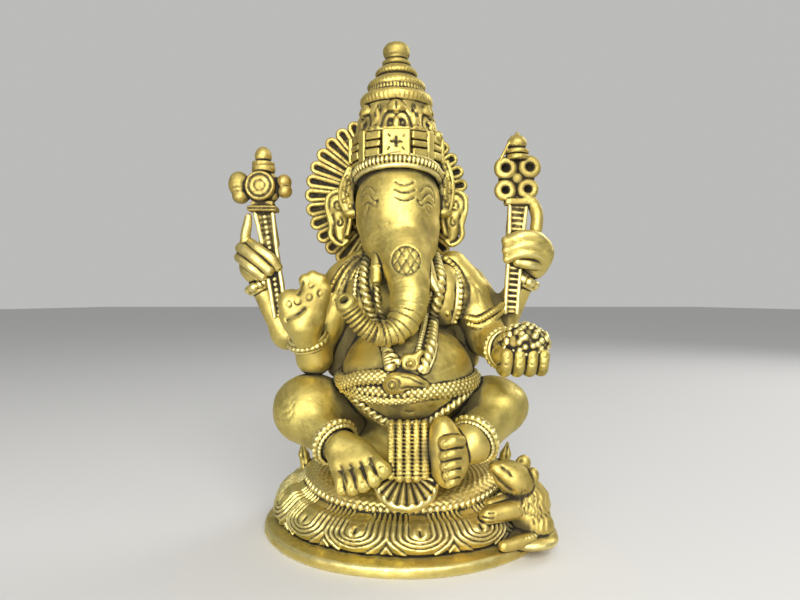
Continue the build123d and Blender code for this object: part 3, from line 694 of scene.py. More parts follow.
def waist_cord(body):
    clay = block("waist_cord", "cloth", margin=4)
    front = [(-17, 43.6), (-13.6, 41.6), (-9, 38.4), (-5.4, 36.4), (0.6, 35.6), (6.4, 36.4), (10.4, 39),
             (15, 42), (18, 44)]
    run = worn_on(body, front, 0.5)
    clay.tube(run, 1.15, twist(1.9, 0.26))
    clay.tube(run - (0, -0.6, 1.5), 0.55, ribs(0.95, 0.2, 2))
    back = smooth_path(body.lay([(-19, 38.5), (-10, 38.5), (0.4, 38.4), (11, 38.5), (19.4, 38.5)], 0.2,
                                behind=True), 8)
    clay.tube(back, 1, twist(1.9, 0.22))


# ---------------------------------------------------------------- legs and feet
def right_leg():
    clay = block("right_leg", "body", SMOOTH, 3)
    clay.add(limb((-13, -1, 31.5), (-26.5, -10, 37.6), 10.4, 9.8))
    clay.add(egg((-29, -12.4, 38.2), (9.9, 10.2, 9.6)), 2.5)
    clay.add(limb((-29.4, -14.4, 36), (-19, -25.8, 30.6), 7.6, 4.9), 3)
    for lift in (0, 2, 3.9):
        crease = [(x, z + lift) for x, z in ((-37.4, 38.6), (-36.4, 36.6), (-34.4, 36), (-32.4, 37),
                                             (-31.4, 38.8))]
        clay.etch(crease, 0.6, -0.26 + 0.04 * lift, 4)


def left_leg():
    clay = block("left_leg", "body", SMOOTH, 3)
    clay.add(limb((13.5, -1, 33), (24.6, -10, 38.4), 10.4, 8.6))
    clay.add(egg((28.2, -12, 39.2), (8.4, 9.4, 7.4), turn_y(12)), 3)
    clay.add(limb((26.6, -14.4, 37), (17.8, -26.6, 31.2), 7, 5.9), 3)


def toe(clay, knuckle, tip, radius):
    """A toe with its nail."""
    knuckle, tip = vec(*knuckle), vec(*tip)
    middle = (knuckle + tip) / 2 + (0, -0.9, 0.3)
    clay.tube(smooth_path([(*knuckle, radius * 0.95), (*middle, radius * 0.85), (*tip, radius * 1.05)], 4),
              blend=0.2)
    nail = tip + (0, -radius * 0.98, 0.35)
    clay.line(ring_path(nail, (0, -1, 0.2), radius * 0.52, 14), 0.55, -0.3)


def right_foot():
    clay = block("right_foot", "body", margin=3.4)
    clay.add(limb((-17.4, -27.4, 29.8), (-12.4, -30, 28.6), 4.9, 4.4))
    clay.add(limb((-16.8, -30, 26.4), (-10.4, -31.6, 27.6), 3.8, 3.8), 1.2)
    toes = [((-8, -33.4, 28), (-5.9, -35, 26), 2.2), ((-10.2, -33.6, 26.6), (-8.2, -35.8, 23.6), 1.8),
            ((-12.8, -33.4, 25.6), (-11, -35.8, 22.2), 1.75),
            ((-15.4, -32.8, 24.8), (-13.8, -35.4, 21.2), 1.7),
            ((-18, -31.8, 24.4), (-16.6, -34.6, 20.8), 1.65)]
    for knuckle, tip, radius in toes:
        toe(clay, knuckle, tip, radius)
    for x, z in ((-9.2, 28.9), (-11.8, 27.9), (-14.4, 27), (-16.9, 26.4)):
        clay.etch([(x, z), (x + 0.8, z - 1.6), (x + 1.5, z - 3.2)], 0.9, -0.5, 3)


def left_foot():
    clay = block("left_foot", "body", margin=3)
    clay.add(egg((10.4, -30.4, 29.6), (4.9, 5.2, 9.6), turn_y(-4)))
    clay.add(egg((13.4, -31, 28.2), (3.4, 4, 6.4)), 1.4)
    tips = [((14.2, 33.2), (10.2, 33), 1.75), ((14.4, 30.2), (10, 29.8), 1.45),
            ((14.4, 27.6), (10.2, 27), 1.35), ((14, 25.2), (10.6, 24.5), 1.25),
            ((13.4, 22.9), (11, 22.3), 1.1)]
    for (start_x, start_z), (end_x, end_z), radius in tips:
        middle = ((start_x + end_x) / 2, -35.6, (start_z + end_z) / 2 + 0.5)
        clay.tube(smooth_path([(start_x, -33.6, start_z, radius * 0.9), (*middle, radius * 0.95),
                               (end_x, -35.2, end_z, radius)], 4), blend=0.2)
        nail = (end_x - 0.2, -35.2 - radius * 0.85, end_z)
        clay.line(ring_path(nail, (0, 1, 0), radius * 0.5, 12), 0.5, -0.25)


def anklet(name, centre, axis, radius):
    """Two plain hoops with a row of beads between them."""
    clay = block(name, "jewellery", margin=3.2)
    axis = unit(axis)
    for shift in (-1.5, 1.5):
        clay.tube(ring_path(vec(*centre) + shift * axis, axis, radius, 60), 0.6, ribs(1.1, 0.2, 2))
    middle = ring_path(centre, axis, radius, 60)
    clay.tube(middle, 1)
    clay.beads(ring_path(centre, axis, radius + 0.7, 60)[:-1], 0.72, 1.7)


# ---------------------------------------------------------------- cloth
PLEATS = 5
PLEAT_PITCH = 2.2


def apron_pleats():
    clay = block("apron_pleats", "cloth", margin=2.6)
    for number in range(PLEATS):
        x = 0.6 + (number - (PLEATS - 1) / 2) * PLEAT_PITCH
        middle = 1 - abs(number - (PLEATS - 1) / 2) / 2
        run = smooth_path([(x, -29.8, 37.4, 1), (x, -31.4, 33, 1.15), (x, -32.8, 28, 1.2),
                           (x, -33.4, 24 - 0.9 * middle, 1.25)], 6)
        clay.tube(run, raised=ribs(0.98, 0.34, 3))
        clay.line(run[2:-2, :3] + (0, -1.2, 0), 0.55, -0.18)
    clay.add(slab((0.6, -30, 30.4), (5.4, 1.7, 6.6), 0.5, turn_x(-13)), 0.2)


def cloth_fan():
    clay = block("cloth_fan", "cloth", margin=2.6)
    centre, tilt = vec(0.2, -29.4, 21.6), turn_x(38)
    out = tilt[:, 2]
    clay.add(disc(centre - tilt[:, 1] * 0.6, out, 8.7, 1.2, 0.7))

    def pleats(x, y, z):
        px, py, pz = local(x, y, z, centre + tilt[:, 1] * 3, tilt)
        angle, radius = np.arctan2(py, px), np.sqrt(px * px + py * py)
        reach = np.sqrt(px * px + (py + 3.6) ** 2)
        fold = 0.36 * np.cos(26 * angle) * step_up(radius, 3, 5) * (1 - step_up(reach, 7.8, 8.4))
        return fold - 0.12 * (pz > 0) * np.exp(-(((reach - 7.4) / 0.3) ** 2))

    clay.raise_skin(pleats)
    clay.keep(lambda x, y, z: y + 27)


# ---------------------------------------------------------------- head
TRUNK_ROOT = vec(-0.6, -14, 85.4)
TRUNK_AHEAD = unit((0.15, -0.80, -0.58))
FACE = [(-1.9, -6.6, 99.5, 12), (-1.7, -8, 93, 11.5), (-1.2, -11, 87, 10.2), (-0.2, -16, 82.6, 8),
        (0.7, -21, 77.2, 6.2), (1.2, -23.8, 71.6, 5.5), (0.5, -26, 66.2, 4.8), (-2.7, -27.8, 61.8, 3.9),
        (-7.4, -28.9, 60.7, 3.15), (-11.5, -29.5, 63.2, 2.7), (-14.4, -30, 66.6, 2.65),
        (-15.7, -30.3, 68.7, 2.85)]


def face():
    """Head and trunk, sculpted in one and then parted where the trunk leaves the face."""
    clay = Clay(box_of("trunk")[0] - (4, 3.5, 3.5), box_of("head")[1] + (3, 2.5, 2.5), FINE)
    clay.add(egg((-2.2, -4.6, 99.2), (12.9, 13.6, 14.6)))

    def wrinkles(travel, angle):
        deep = 0.05 + 0.12 * step_up(travel, 25, 31) + 0.55 * step_up(travel, 35, 42)
        return -deep * np.abs(np.cos(pi * travel / 1.32)) ** 2.2 + 0.3 * deep

    clay.tube(smooth_path(FACE, 6), raised=wrinkles, blend=2)
    clay.add(limb((-9, -9, 93), (-8.4, -12.2, 87.6), 5.2, 4.4), 2.6)
    clay.add(limb((5, -9.5, 91), (5.2, -12, 86.4), 5, 4), 2.6)
    tip, ahead = vec(*FACE[-1][:3]), unit((-0.25, -0.8, 0.55))
    clay.add(ball(tip, 2.7), 0.5)
    clay.add(hoop(tip + ahead * 1.5, ahead, 1.75, 0.95), 0.3)
    clay.cut(limb(tip + ahead * 0.8, tip + ahead * 5, 0.9, 1.3), 0.2)
    clay.line(ring_path(tip + ahead * 2.2, ahead, 0.7, 14), 0.9, -0.4)
    for level, reach in ((104, 2.6), (101.7, 3), (99.4, 2.8)):
        arc = [(-0.2 + reach * t, level - 1 + t * t) for t in np.linspace(-1, 1, 9)]
        clay.etch(arc, 0.66, -0.42)
    for side, turn in ((-1, 0), (1, -0.6)):
        def eye(points):
            return smooth_path(clay.lay([(-1.9 + side * a + turn, b) for a, b in points]), 5)

        clay.line(eye([(11.3, 98.6), (11.2, 101.2), (10, 103.2), (8.2, 103), (6.9, 101.2)]), 0.66, -0.4)
        clay.line(eye([(10.9, 100.2), (9.8, 101.2), (8.4, 100.4), (7.4, 98.9), (6.2, 98.7)]), 0.7, -0.46)
        clay.line(eye([(10.4, 97.9), (9.3, 98.5), (8.3, 97.9), (7.2, 97.2), (6.5, 97.8), (6.2, 98.7)]), 0.7,
                  -0.46)
        clay.line(eye([(9.6, 95.4), (9, 96.2), (8.8, 97.2)]), 0.66, -0.38)
    middle, radius = (0.2, 80.9), 4
    round_line = [(middle[0] + radius * cos(a), middle[1] + radius * sin(a))
                  for a in np.linspace(0, 2 * pi, 41)]
    clay.etch(round_line, 0.66, -0.46)
    for lean in (-1, 1):
        along = vec(lean * sin(radians(32)), cos(radians(32)))
        side = vec(cos(radians(32)), -lean * sin(radians(32)))
        for shift in (-2.2, 0, 2.2):
            half = np.sqrt(radius**2 - shift**2) * 0.96
            ends = [vec(*middle) + side * shift + along * t for t in np.linspace(-half, half, 9)]
            clay.etch(ends, 0.56, -0.4)

    def ahead_of_root(x, y, z):
        return sum(a * (p - r) for a, p, r in zip(TRUNK_AHEAD, (x, y, z), TRUNK_ROOT))

    part_of(clay, "head", "body", lambda x, y, z: ahead_of_root(x, y, z) - 0.3)
    part_of(clay, "trunk", "body", lambda x, y, z: -0.3 - ahead_of_root(x, y, z))


def tusks():
    clay = block("right_tusk", "body", margin=4)
    clay.tube(smooth_path([(-7.4, -15.6, 83.6, 2.1), (-8.2, -18.6, 79.6, 1.75), (-8.3, -20, 75.6, 1.5)], 5))
    clay.add(hoop((-8.2, -18.8, 79.2), (0, -0.35, -0.93), 1.7, 0.4), 0.2)
    clay.line(ring_path((-8.3, -20.3, 74.6), (0, -0.35, -0.93), 0.8, 14), 0.6, -0.3)
    clay = block("left_tusk", "body", margin=4)
    clay.tube(smooth_path([(6.2, -16.4, 80.6, 1.9), (7.2, -19.2, 76.2, 1.7), (9, -20.4, 72.8, 1)], 5))
    clay.add(hoop((7, -18.6, 76.8), (0.2, -0.5, -0.85), 1.6, 0.4), 0.2)


def ear(name, middle, hand):
    """A leaf-shaped ear: broad and rolled at the top, drawn down to a curled point, with a chased swirl."""
    clay = block(name, "body", margin=3)
    x, y, z = middle
    clay.add(egg((x, y, z + 3), (4.4, 2.3, 5.8)))
    clay.add(limb((x, y - 0.2, z), (x - 0.8 * hand, y - 0.6, z - 8.2), 3.1, 1.5), 1.8)
    rim = [(x + hand * a, y - 1.5, z + b) for a, b in
           ((-2.9, -5.6), (-3.8, -1.2), (-3.9, 3.6), (-2.2, 7), (0.6, 7.9), (3.2, 6.2), (3.7, 2.4),
            (2.7, -1.6), (2, -5.2))]
    clay.tube(smooth_path(rim, 6), 0.72, blend=0.5)
    for start, turns, size in (((0, 3.6), 1.3, 2.2), ((-0.4, -2.2), 0.9, 1.5)):
        clay.etch([(x + hand * a, z + b) for a, b in spiral(start, size, turns)], 0.85, -0.6)
    fold = ((1.9, 0.4), (1.2, -2.4), (1.6, -4.8), (0.6, -7.4), (-1.2, -8.4))
    clay.etch([(x + hand * a, z + b) for a, b in fold], 0.9, -0.7, 5)
    curl = [(x + hand * a, y - 1.3, z + b) for a, b in
            ((2.4, -3.6), (2.6, -5.8), (1.2, -8), (-1, -9), (-2.6, -7.8))]
    clay.tube(smooth_path(curl, 6), 0.8, blend=0.3)


# ---------------------------------------------------------------- crown
CROWN = sum(box_of("crown_finial"))[:2] / 2
CROWN_OUTLINE = [(105, 12.2), (109, 13.2), (113, 13.5), (119.4, 12.9), (120.6, 12.3), (123, 11.5),
                 (126, 10.8), (129.4, 10.4)]
FRONT = -90


def crown_radius(height):
    heights, radii = zip(*CROWN_OUTLINE)
    return float(np.interp(height, heights, radii))


def on_crown(angle, height, lift=0):
    """A point on the crown's wall, at an angle in degrees from its front."""
    turn, radius = radians(FRONT + angle), crown_radius(height) + lift
    return vec(CROWN[0] + radius * cos(turn), CROWN[1] + radius * sin(turn), height)


def clay_front(clay, points):
    """Moves points near an upright turned shape straight out from its axis, onto its skin."""
    run = []
    for point in np.asarray(points, float):
        out = unit((point[0] - CROWN[0], point[1] - CROWN[1], 0))
        steps = np.arange(-1, 4, 0.1)
        values = at_places(clay.field, clay.low, clay.grain, point + steps[:, None] * out)
        inside = np.flatnonzero(values < 0)
        run.append(point + out * (steps[inside[-1]] if len(inside) else 0))
    return np.array(run)


def plaque(clay, angle, height, half, rounding, lift):
    """A small block standing on the crown's wall."""
    clay.add(slab(on_crown(angle, height, lift), (half[0], 0.8, half[1]), rounding, turn_z(angle)), 0.15)


def crown_band():
    clay = block("crown_band", "crown", margin=5)
    low, high = box_of("crown_band")
    middle = (low + high) / 2 + (0, 0, 0.5)
    tilt = vec(0, sin(radians(13)), cos(radians(13)))
    wide = (high[0] - low[0]) / 2 - 1.6
    clay.tube(ring_path(middle, tilt, wide + 0.1, 90), 1.3, ribs(1.3, 0.55, 4))
    clay.tube(ring_path(middle - 1.7 * tilt, tilt, wide - 0.1, 90), 0.75)
    clay.tube(ring_path(middle + 1.5 * tilt, tilt, wide + 0.1, 90), 0.6)


# The leaves of the crest, which repeats six times: (degrees, height) points, width and height of each line.
CREST = [
    ([(3, 126.2), (13, 126.6), (20, 125.2), (24, 123), (25, 120.8)], 1.8, 0.85),
    ([(4, 124), (10, 124.5), (14.5, 123.4), (16, 121)], 1.5, 0.75),
    ([(5, 125.3), (13, 125.4), (18, 124), (20.4, 122), (20.4, 120.8)], 0.9, -0.42),
    ([(5, 122.6), (9.5, 123.2), (12, 122.2), (11, 121)], 0.9, -0.42),
    ([(28, 128.2), (27, 126.8), (29, 124.4)], 0.9, -0.4),
]


def crown_body():
    clay = block("crown_body", "crown", margin=3)
    wall = [(r, z) for z, r in CROWN_OUTLINE]
    clay.add(turned([(0, 105)] + wall + [(0, 129.4)], CROWN))
    clay.tube([on_crown(a, 111, 0.1) for a in range(0, 366, 5)], 0.75)
    clay.tube([on_crown(a, 120.3, 0) for a in range(0, 366, 5)], 0.6)

    def chase(base, points, width, height):
        run = clay_front(clay, [on_crown(base + a, h) for a, h in points])
        clay.line(smooth_path(run, 4), width, height)

    for quarter in range(4):
        base = 90 * quarter
        plaque(clay, base, 115.7, (4.1, 3.9), 0.4, 0.7)
        for turn in range(4):
            a, h = cos(turn * pi / 2), sin(turn * pi / 2)
            chase(base, [(0.5 * a, 115.8 + 0.1 * h), (5.5 * a, 115.8 + 1.3 * h)], 0.8, -0.5)
            chase(base, [(7.5 * a - 7 * h, 115.7 + 1.6 * h + 1.5 * a),
                         (9.5 * a - 9 * h, 115.7 + 2.3 * h + 2.2 * a)], 0.6, -0.25)
        for side in (-1, 1):
            for level, tall in ((113.1, 1.15), (115.7, 0.85), (118.2, 1.15)):
                plaque(clay, base + side * 29, level, (2.5, tall), 0.35, 0.55)
            for level in (114.4, 116.9):
                chase(base, [(side * (29 + a), level) for a in (-9, 0, 9)], 0.8, -0.5)
        plaque(clay, base + 45, 115.4, (1.3, 4.6), 0.35, 0.75)
    for number in range(6):
        base = 60 * number
        clay.add(egg(on_crown(base, 127, 0.3), (2.4, 1.3, 2.2), turn_z(base)), 0.4)
        clay.add(egg(on_crown(base + 30, 123.6, 0.1), (1.2, 1, 3.4), turn_z(base + 30)), 0.3)
        clay.add(egg(on_crown(base, 122, 0.2), (1.1, 0.9, 1.7), turn_z(base)), 0.2)
        for side in (-1, 1):
            for points, width, height in CREST:
                chase(base, [(side * a, h) for a, h in points], width, height)
        chase(base, [(0, 126), (0, 128.4)], 0.7, -0.4)
    clay.add(ball(on_crown(66, 119.6, 1), 1.6), 0.3)


SPIRE_OUTLINE = [
    (0, 129), (9.4, 129.1), (10.7, 129.7), (11.3, 130.9), (11.25, 132.1), (10.7, 132.9), (9.6, 133.4),
    (8.95, 133.8), (8.8, 134.7), (9, 135.4), (9.1, 136.2), (8.7, 137.1), (7.7, 138), (6.4, 138.8),
    (6.1, 139.3), (6.5, 139.7), (6.65, 140.4), (6.2, 141.2), (5.1, 142.1), (4.2, 142.8), (4.45, 143.3),
    (4.45, 144), (3.7, 144.6), (3.3, 145), (0, 145.1)]


def crown_spire():
    clay = block("crown_spire", "crown", margin=3, above=3.5)

    def flutes(angle, height):
        def row(count, depth, foot, foot_end, top, top_end):
            return (depth * np.cos(count * angle) * step_up(height, foot, foot_end)
                    * (1 - step_up(height, top, top_end)))

        return (row(50, 0.16, 132.4, 133.2, 135, 135.5) + row(50, 0.1, 129.6, 130.2, 131.2, 131.8)
                + row(44, 0.08, 135.8, 136.3, 136.9, 137.3) + row(36, 0.08, 139.6, 140, 140.8, 141.2))

    clay.add(turned(SPIRE_OUTLINE, CROWN, ripple=flutes))
    for height, radius in ((133.6, 9.2), (135.2, 9), (137.9, 7.8), (139.2, 6.15), (142.7, 4.2), (144.8, 3.4)):
        clay.line(ring_path((*CROWN, height), (0, 0, 1), radius, 70), 0.7, -0.32)


def crown_finial():
    clay = block("crown_finial", "crown", margin=2)
    outline = [(0, 144.4), (3.3, 144.8), (3.8, 145.6), (4.15, 146.6), (4.25, 147.8), (3.95, 148.9),
               (3.3, 149.6), (2, 150.1), (0, 150.2)]
    clay.add(turned(outline, CROWN))
    for height, radius in ((145.7, 3.9), (149, 3.9)):
        clay.line(ring_path((*CROWN, height), (0, 0, 1), radius, 50), 0.7, -0.25)


def lappet(name, points):
    """A ribbon hanging from the crown beside the face, with a chased vine down it."""
    clay = block(name, "crown", margin=3.2)
    run = smooth_path(points, 6)
    clay.tube(run, blend=0.2)
    for side in (-1, 1):
        clay.tube(run[:, :3] + (1.85 * side, -0.9, 0), 0.6, blend=0.2)
    places, _ = even_path(run[:, :3], 9)
    for number, place in enumerate(places[1:-1]):
        front = clay.lay([(place[0] + 0.5 * (-1) ** number, place[2])])
        clay.add(ball(front[0] + (0, 0.1, 0), 0.62), 0.1)
        clay.line(ring_path(front[0], (0, 1, 0), 1, 12), 0.6, -0.25)
    clay.add(egg(run[-1, :3] + (0, -0.3, -0.4), (2.6, 2.2, 1.5)), 0.3)


def lappets():
    lappet("right_lappet", [(-15.4, -5, 110.6, 1.6), (-17.6, -4.6, 106, 2.1), (-18.2, -4.2, 101, 2.2),
                            (-16.4, -4.2, 97.2, 2)])
    lappet("left_lappet", [(11.2, -4.6, 112.6, 1.5), (12.8, -4.6, 107, 1.9), (12.9, -4.4, 101.4, 2),
                           (11.9, -4.2, 97.4, 1.9)])


# ---------------------------------------------------------------- halo
HALO_TURN = 8
RAYS = 34


def halo():
    clay = block("halo", "halo", margin=2.2)
    low, high = box_of("halo")
    middle, reach = (low + high) / 2, (high[2] - low[2]) / 2
    out = vec(sin(radians(HALO_TURN)), -cos(radians(HALO_TURN)), 0)
    across, up = vec(cos(radians(HALO_TURN)), sin(radians(HALO_TURN)), 0), vec(0, 0, 1)
    clay.add(disc(middle - out * 0.3, out, 22.6, 0.7, 0.5))
    clay.tube(ring_path(middle + out * 0.9, out, 14.6, 80), 0.9, ribs(1.6, 0.4, 3))
    for number in range(RAYS):
        turn = 2 * pi * number / RAYS
        ahead = cos(turn) * across + sin(turn) * up
        side = np.cross(out, ahead)

        def spot(along, aside, lift=0):
            return middle + ahead * along + side * aside + out * lift

        tip = reach - 2.5
        hairpin = [spot(14, -0.8), spot(19, -1.1, 0.3), spot(tip, -1.5, 0.5)]
        hairpin += [spot(tip + 1.65 * cos(a), 1.6 * sin(a), 0.4) for a in np.linspace(-1.2, 1.2, 5)]
        hairpin += [spot(tip, 1.5, 0.5), spot(19, 1.1, 0.3), spot(14, 0.8)]
        clay.tube(hairpin, 0.74)
        clay.add(slab(spot(20.2, 0, -0.5), (5.4, 1.6, 0.6), 0.2, np.stack([ahead, side, out], axis=1)), 0.1)
        clay.add(limb(spot(18, 0, 0), spot(tip - 2.2, 0, 0.1), 0.4, 0.5), 0.15)
    # The halo's face between the feet of the rays is darkened: dirt and painted shade in the hollow.
    cut, (x, y, _) = clay.whole()
    lift = (x - middle[0]) * out[0] + (y - middle[1]) * out[1]
    clay.darken_with_dirt_and_shade(cut, (0.95 * step_up(0.75 - lift, 0, 0.5) * step_up(lift, -0.8, -0.4)).astype(np.float32))


# ---------------------------------------------------------------- front arms and hands
def right_front_arm():
    clay = block("right_front_arm", "body", SMOOTH, 3.4)
    clay.add(limb((-17, -3.4, 76.6), (-26.4, -7.8, 58), 6.2, 5.6))
    clay.add(limb((-14, -3, 82), (-19, -4.4, 76), 3.6, 5.6), 2)
    clay.add(limb((-27.2, -10, 52.8), (-28.7, -13.6, 60), 5.6, 4.6), 2)
    for start, middle, end in (((-13.4, 84.6), (-19, 79.6), (-23.6, 71)),
                               ((-12, 83), (-15.6, 77.6), (-18, 69))):
        border = smooth_path(clay.lay([start, middle, end]), 8)
        clay.tube(border + (0, 0.5, 0), 1.1, blend=0.3)
        clay.beads(border + (0, -0.35, 0), 0.62, 1.5)
        for shift in (-1.3, 1.3):
            clay.etch([(p[0] + shift, p[2] + 0.4 * shift) for p in border[::3]], 0.8, -0.45)
    clay.etch([(-13.4, 82.6), (-17.6, 77.6), (-21, 70)], 0.8, -0.5, 5)


def left_front_arm():
    clay = block("left_front_arm", "body", SMOOTH, 3.2)
    clay.add(limb((16.2, -3, 76.2), (24, -6.4, 62), 6.4, 5.8))
    clay.add(limb((15, -3, 81), (20, -4, 72), 4.4, 6.4), 1.5)
    clay.add(limb((25, -8.2, 58.4), (29.4, -17.2, 55.8), 6, 4.9), 2)
    hem = smooth_path([(18, -11.6, 64.8), (21.6, -12.6, 64.2), (26, -11.4, 66.4), (29.6, -7.6, 68.6)], 6)
    clay.tube(hem, 1, ribs(1, 0.25, 2), 0.5)
    clay.tube(hem + (0.4, 0.2, -2), 0.8, ribs(1, 0.25, 2), 0.5)
    border = smooth_path(clay.lay([(12.4, 82.6), (15.6, 79), (17.6, 74.4), (17.6, 69.6), (16.6, 65.2)]), 6)
    clay.beads(border, 1, 1.6)
    clay.line(border + (1.5, 0, 0), 0.9, -0.4)
    for shift in (1.6, 4.2, 6.8):
        fold = [(18 + shift * 0.45, 79 - 0.9 * shift), (20.4 + shift * 0.7, 74 - 0.5 * shift),
                (20.8 + shift, 68)]
        clay.etch(fold, 0.7, -0.2, 5)


def right_front_hand():
    """The open palm, facing the viewer: a thick mitten of a hand with its fingers up."""
    clay = block("right_front_hand", "body", margin=3.6)
    clay.add(egg((-29.4, -18.4, 66.2), (6.8, 3.4, 6.6), turn_y(-14)))
    clay.add(egg((-26, -18.4, 71.4), (4.6, 3, 6), turn_y(6)), 1)
    clay.add(egg((-32.6, -18.4, 69.4), (4, 3, 3.8), turn_y(-10)), 0.8)
    clay.add(limb((-28.6, -15.8, 58.6), (-29.2, -17.6, 63), 4.2, 5), 1.6)
    for x, z, radius in ((-28.6, 75.6, 1.9), (-26.4, 76.6, 1.9), (-24.2, 75.8, 1.8), (-22.8, 73.2, 1.6)):
        clay.add(ball((x, -18.6, z), radius), 0.8)
    clay.etch([(-33.4, 64.4), (-31.8, 65.4), (-30, 66.2), (-28.4, 67.6)], 1.2, -1, 5)
    clay.etch([(-30.2, 71.6), (-29.6, 73.4), (-29, 75)], 0.9, -0.45, 5)
    for x, z in ((-33, 68.8), (-30.4, 69.6), (-27.2, 70.8), (-23.8, 71.8), (-26.8, 74.4)):
        spot = clay.lay([(x, z)])
        clay.line(ring_path(spot[0], (0, 1, 0), 0.95, 14), 0.55, -0.34)


def left_front_hand():
    """The hand under the sweets, with its fingers curled up in front."""
    clay = block("left_front_hand", "body", margin=3.4)
    clay.add(egg((31.4, -20.4, 54.4), (7, 5.8, 4.8)))
    for x, radius in ((27.3, 1.8), (30.8, 1.8), (34.2, 1.75), (37.4, 1.6)):
        run = [(x * 0.97 + 0.8, -21.6, 50.6, radius), (x, -25.4, 50.6, radius),
               (x + 0.1, -27.4, 52.4, radius * 0.9), (x + 0.3, -27, 55, radius)]
        clay.tube(smooth_path(run, 5), blend=0.15)
        clay.line(ring_path((x + 0.3, -27 - radius * 0.95, 55.2), (0, 1, 0), radius * 0.5, 12), 0.5, -0.25)
        clay.line([(x - radius, -26.6, 53), (x, -29.3, 52.6), (x + radius, -26.6, 53)], 0.7, -0.25)


def sweet_bowl():
    """A heap of small round sweets in the hand."""
    clay = block("sweet_bowl", "emblems", margin=2.6)
    middle, radii = vec(33.2, -22.6, 57.9), vec(6.5, 5.8, 5.2)
    clay.add(egg(middle, radii))
    balls = 112
    for number in range(balls):
        rise = 1 - 2 * (number + 0.5) / balls
        around = number * pi * (3 - 5**0.5) + 0.3 * sin(12.9 * number)
        rise = float(np.clip(rise + 0.035 * sin(7.7 * number), -1, 1))
        place = vec(cos(around) * (1 - rise**2) ** 0.5, sin(around) * (1 - rise**2) ** 0.5, rise)
        clay.add(ball(middle + place * radii * (1 + 0.015 * sin(3.7 * number)),
                      0.9 + 0.1 * sin(2.3 * number)), 0.3)


def bracelet(name, centre, axis, radius, beaded=True):
    """A row of beads between two plain hoops, or a row of blocks over one."""
    clay = block(name, "jewellery", margin=3)
    axis = unit(axis)
    ring = ring_path(centre, axis, radius, 60)
    if beaded:
        clay.tube(ring, 0.9)
        clay.beads(ring_path(centre, axis, radius + 0.5, 60)[:-1], 0.7, 1.5)
        for shift in (-1.3, 1.3):
            clay.tube(ring + shift * axis, 0.5)
    else:
        clay.tube(ring, 1.5, ribs(2.9, 0.45, 6))
        clay.tube(ring - 1.4 * axis, 0.7)


# ---------------------------------------------------------------- rear arms and emblems
def rear_arms():
    clay = block("right_rear_arm", "body", SMOOTH, 3)
    clay.add(limb((-20.6, 2.4, 75), (-37.2, 0.6, 59.6), 5.8, 5))
    clay.add(limb((-37.2, 0.6, 59.6), (-45.4, -1.6, 75.4), 4.9, 3.5), 2)
    clay = block("left_rear_arm", "body", SMOOTH, 3)
    clay.add(limb((20.4, 2.4, 75), (29.8, 0.6, 61.6), 5.8, 5.2))
    clay.add(limb((29.8, 0.6, 61.6), (37.2, -1.4, 76.4), 5.2, 3.7), 2)


def finger(clay, points, radius):
    clay.tube(smooth_path(points, 5), radius, blend=0.2)


def rear_hands():
    clay = block("right_rear_hand", "body", margin=4.4, above=8)
    clay.add(egg((-46.8, -2.8, 80.6), (4.8, 4.2, 5.8), turn_y(-14)))
    finger(clay, [(-50.6, -5.2, 86), (-48.6, -7.6, 85), (-45, -9.2, 82.4), (-41.2, -8.6, 79)], 1.75)
    finger(clay, [(-47.6, -5.8, 87.6), (-44.6, -8.4, 85.6), (-40.6, -8.8, 82.6), (-38.8, -7.6, 80)], 1.6)
    finger(clay, [(-51.2, -4.8, 83.2), (-49, -7.4, 81.8), (-46, -8.6, 79.6), (-43.2, -8, 77.4)], 1.6)
    finger(clay, [(-49.6, -4.6, 80.2), (-47.4, -7, 78.8), (-45, -7.4, 77.2)], 1.3)
    clay.tube(smooth_path([(-49.4, -4.2, 84, 1.9), (-49, -5.8, 89.6, 1.6), (-48.4, -6, 93, 1.45),
                           (-48.2, -5.6, 95.6, 1.1)], 5), blend=0.4)

    clay = block("left_rear_hand", "body", margin=4.4)
    clay.add(egg((41, -2.4, 82.6), (4.6, 4.4, 6.2), turn_y(12)))
    clay.add(egg((41.6, -4.4, 84.4), (4.6, 3.8, 4.8), turn_y(20)), 1.4)
    for number, radius in enumerate((1.9, 1.8, 1.5)):
        z = 90 - 2.7 * number
        run = [(43.2 - 0.3 * number, -5.2, z - 3), (40.2, -7.6, z - 1), (35.6, -8.4, z - 0.6),
               (31.4, -6.8, z - 2)]
        clay.tube(smooth_path(run, 5), radius, blend=0.9)
    finger(clay, [(42, -5.4, 80.6), (38.2, -7.2, 80.8), (34.4, -7.4, 81.6)], 1.5)


def emblem_shaft(name, start, end, rungs):
    """A flat bar, broader at its top, with a raised edge on each side and rungs or beads between."""
    clay = block(name, "emblems", margin=2.8)
    start, end = vec(*start), vec(*end)
    ahead = unit(end - start)
    side = unit(np.cross(ahead, vec(0, 1, 0)))
    front = np.cross(side, ahead)
    front = front if front[1] < 0 else -front
    turn = np.stack([side, front, ahead], axis=1)
    middle, half = (start + end) / 2, np.linalg.norm(end - start) / 2
    clay.add(slab(middle, (2.3, 1.3, half), 0.4, turn))
    clay.add(slab(middle + ahead * half * 0.62, (2.9, 1.3, half * 0.36), 0.4, turn), 0.6)
    for shift in (-1, 1):
        edge = [start + side * shift * 1.8, middle + ahead * half * 0.2 + side * shift * 2,
                end + side * shift * 2.75]
        clay.tube(smooth_path(np.array(edge) + front * 1.1, 6), 0.68, blend=0.2)
    places, _ = even_path(np.array([start, end]), 22)
    for number, place in enumerate(places[1:-1]):
        wide = side * (1.3 + 0.9 * step_up(number, 12, 20))
        if rungs:
            clay.add(limb(place - wide + front * 1.2, place + wide + front * 1.2, 0.45, 0.45), 0.1)
        else:
            clay.add(ball(place + front * 1.2, 0.68), 0.1)
            if number > 14:
                for shift in (-1, 1):
                    clay.add(ball(place + front * 1.1 + side * shift * 1.3, 0.5), 0.1)


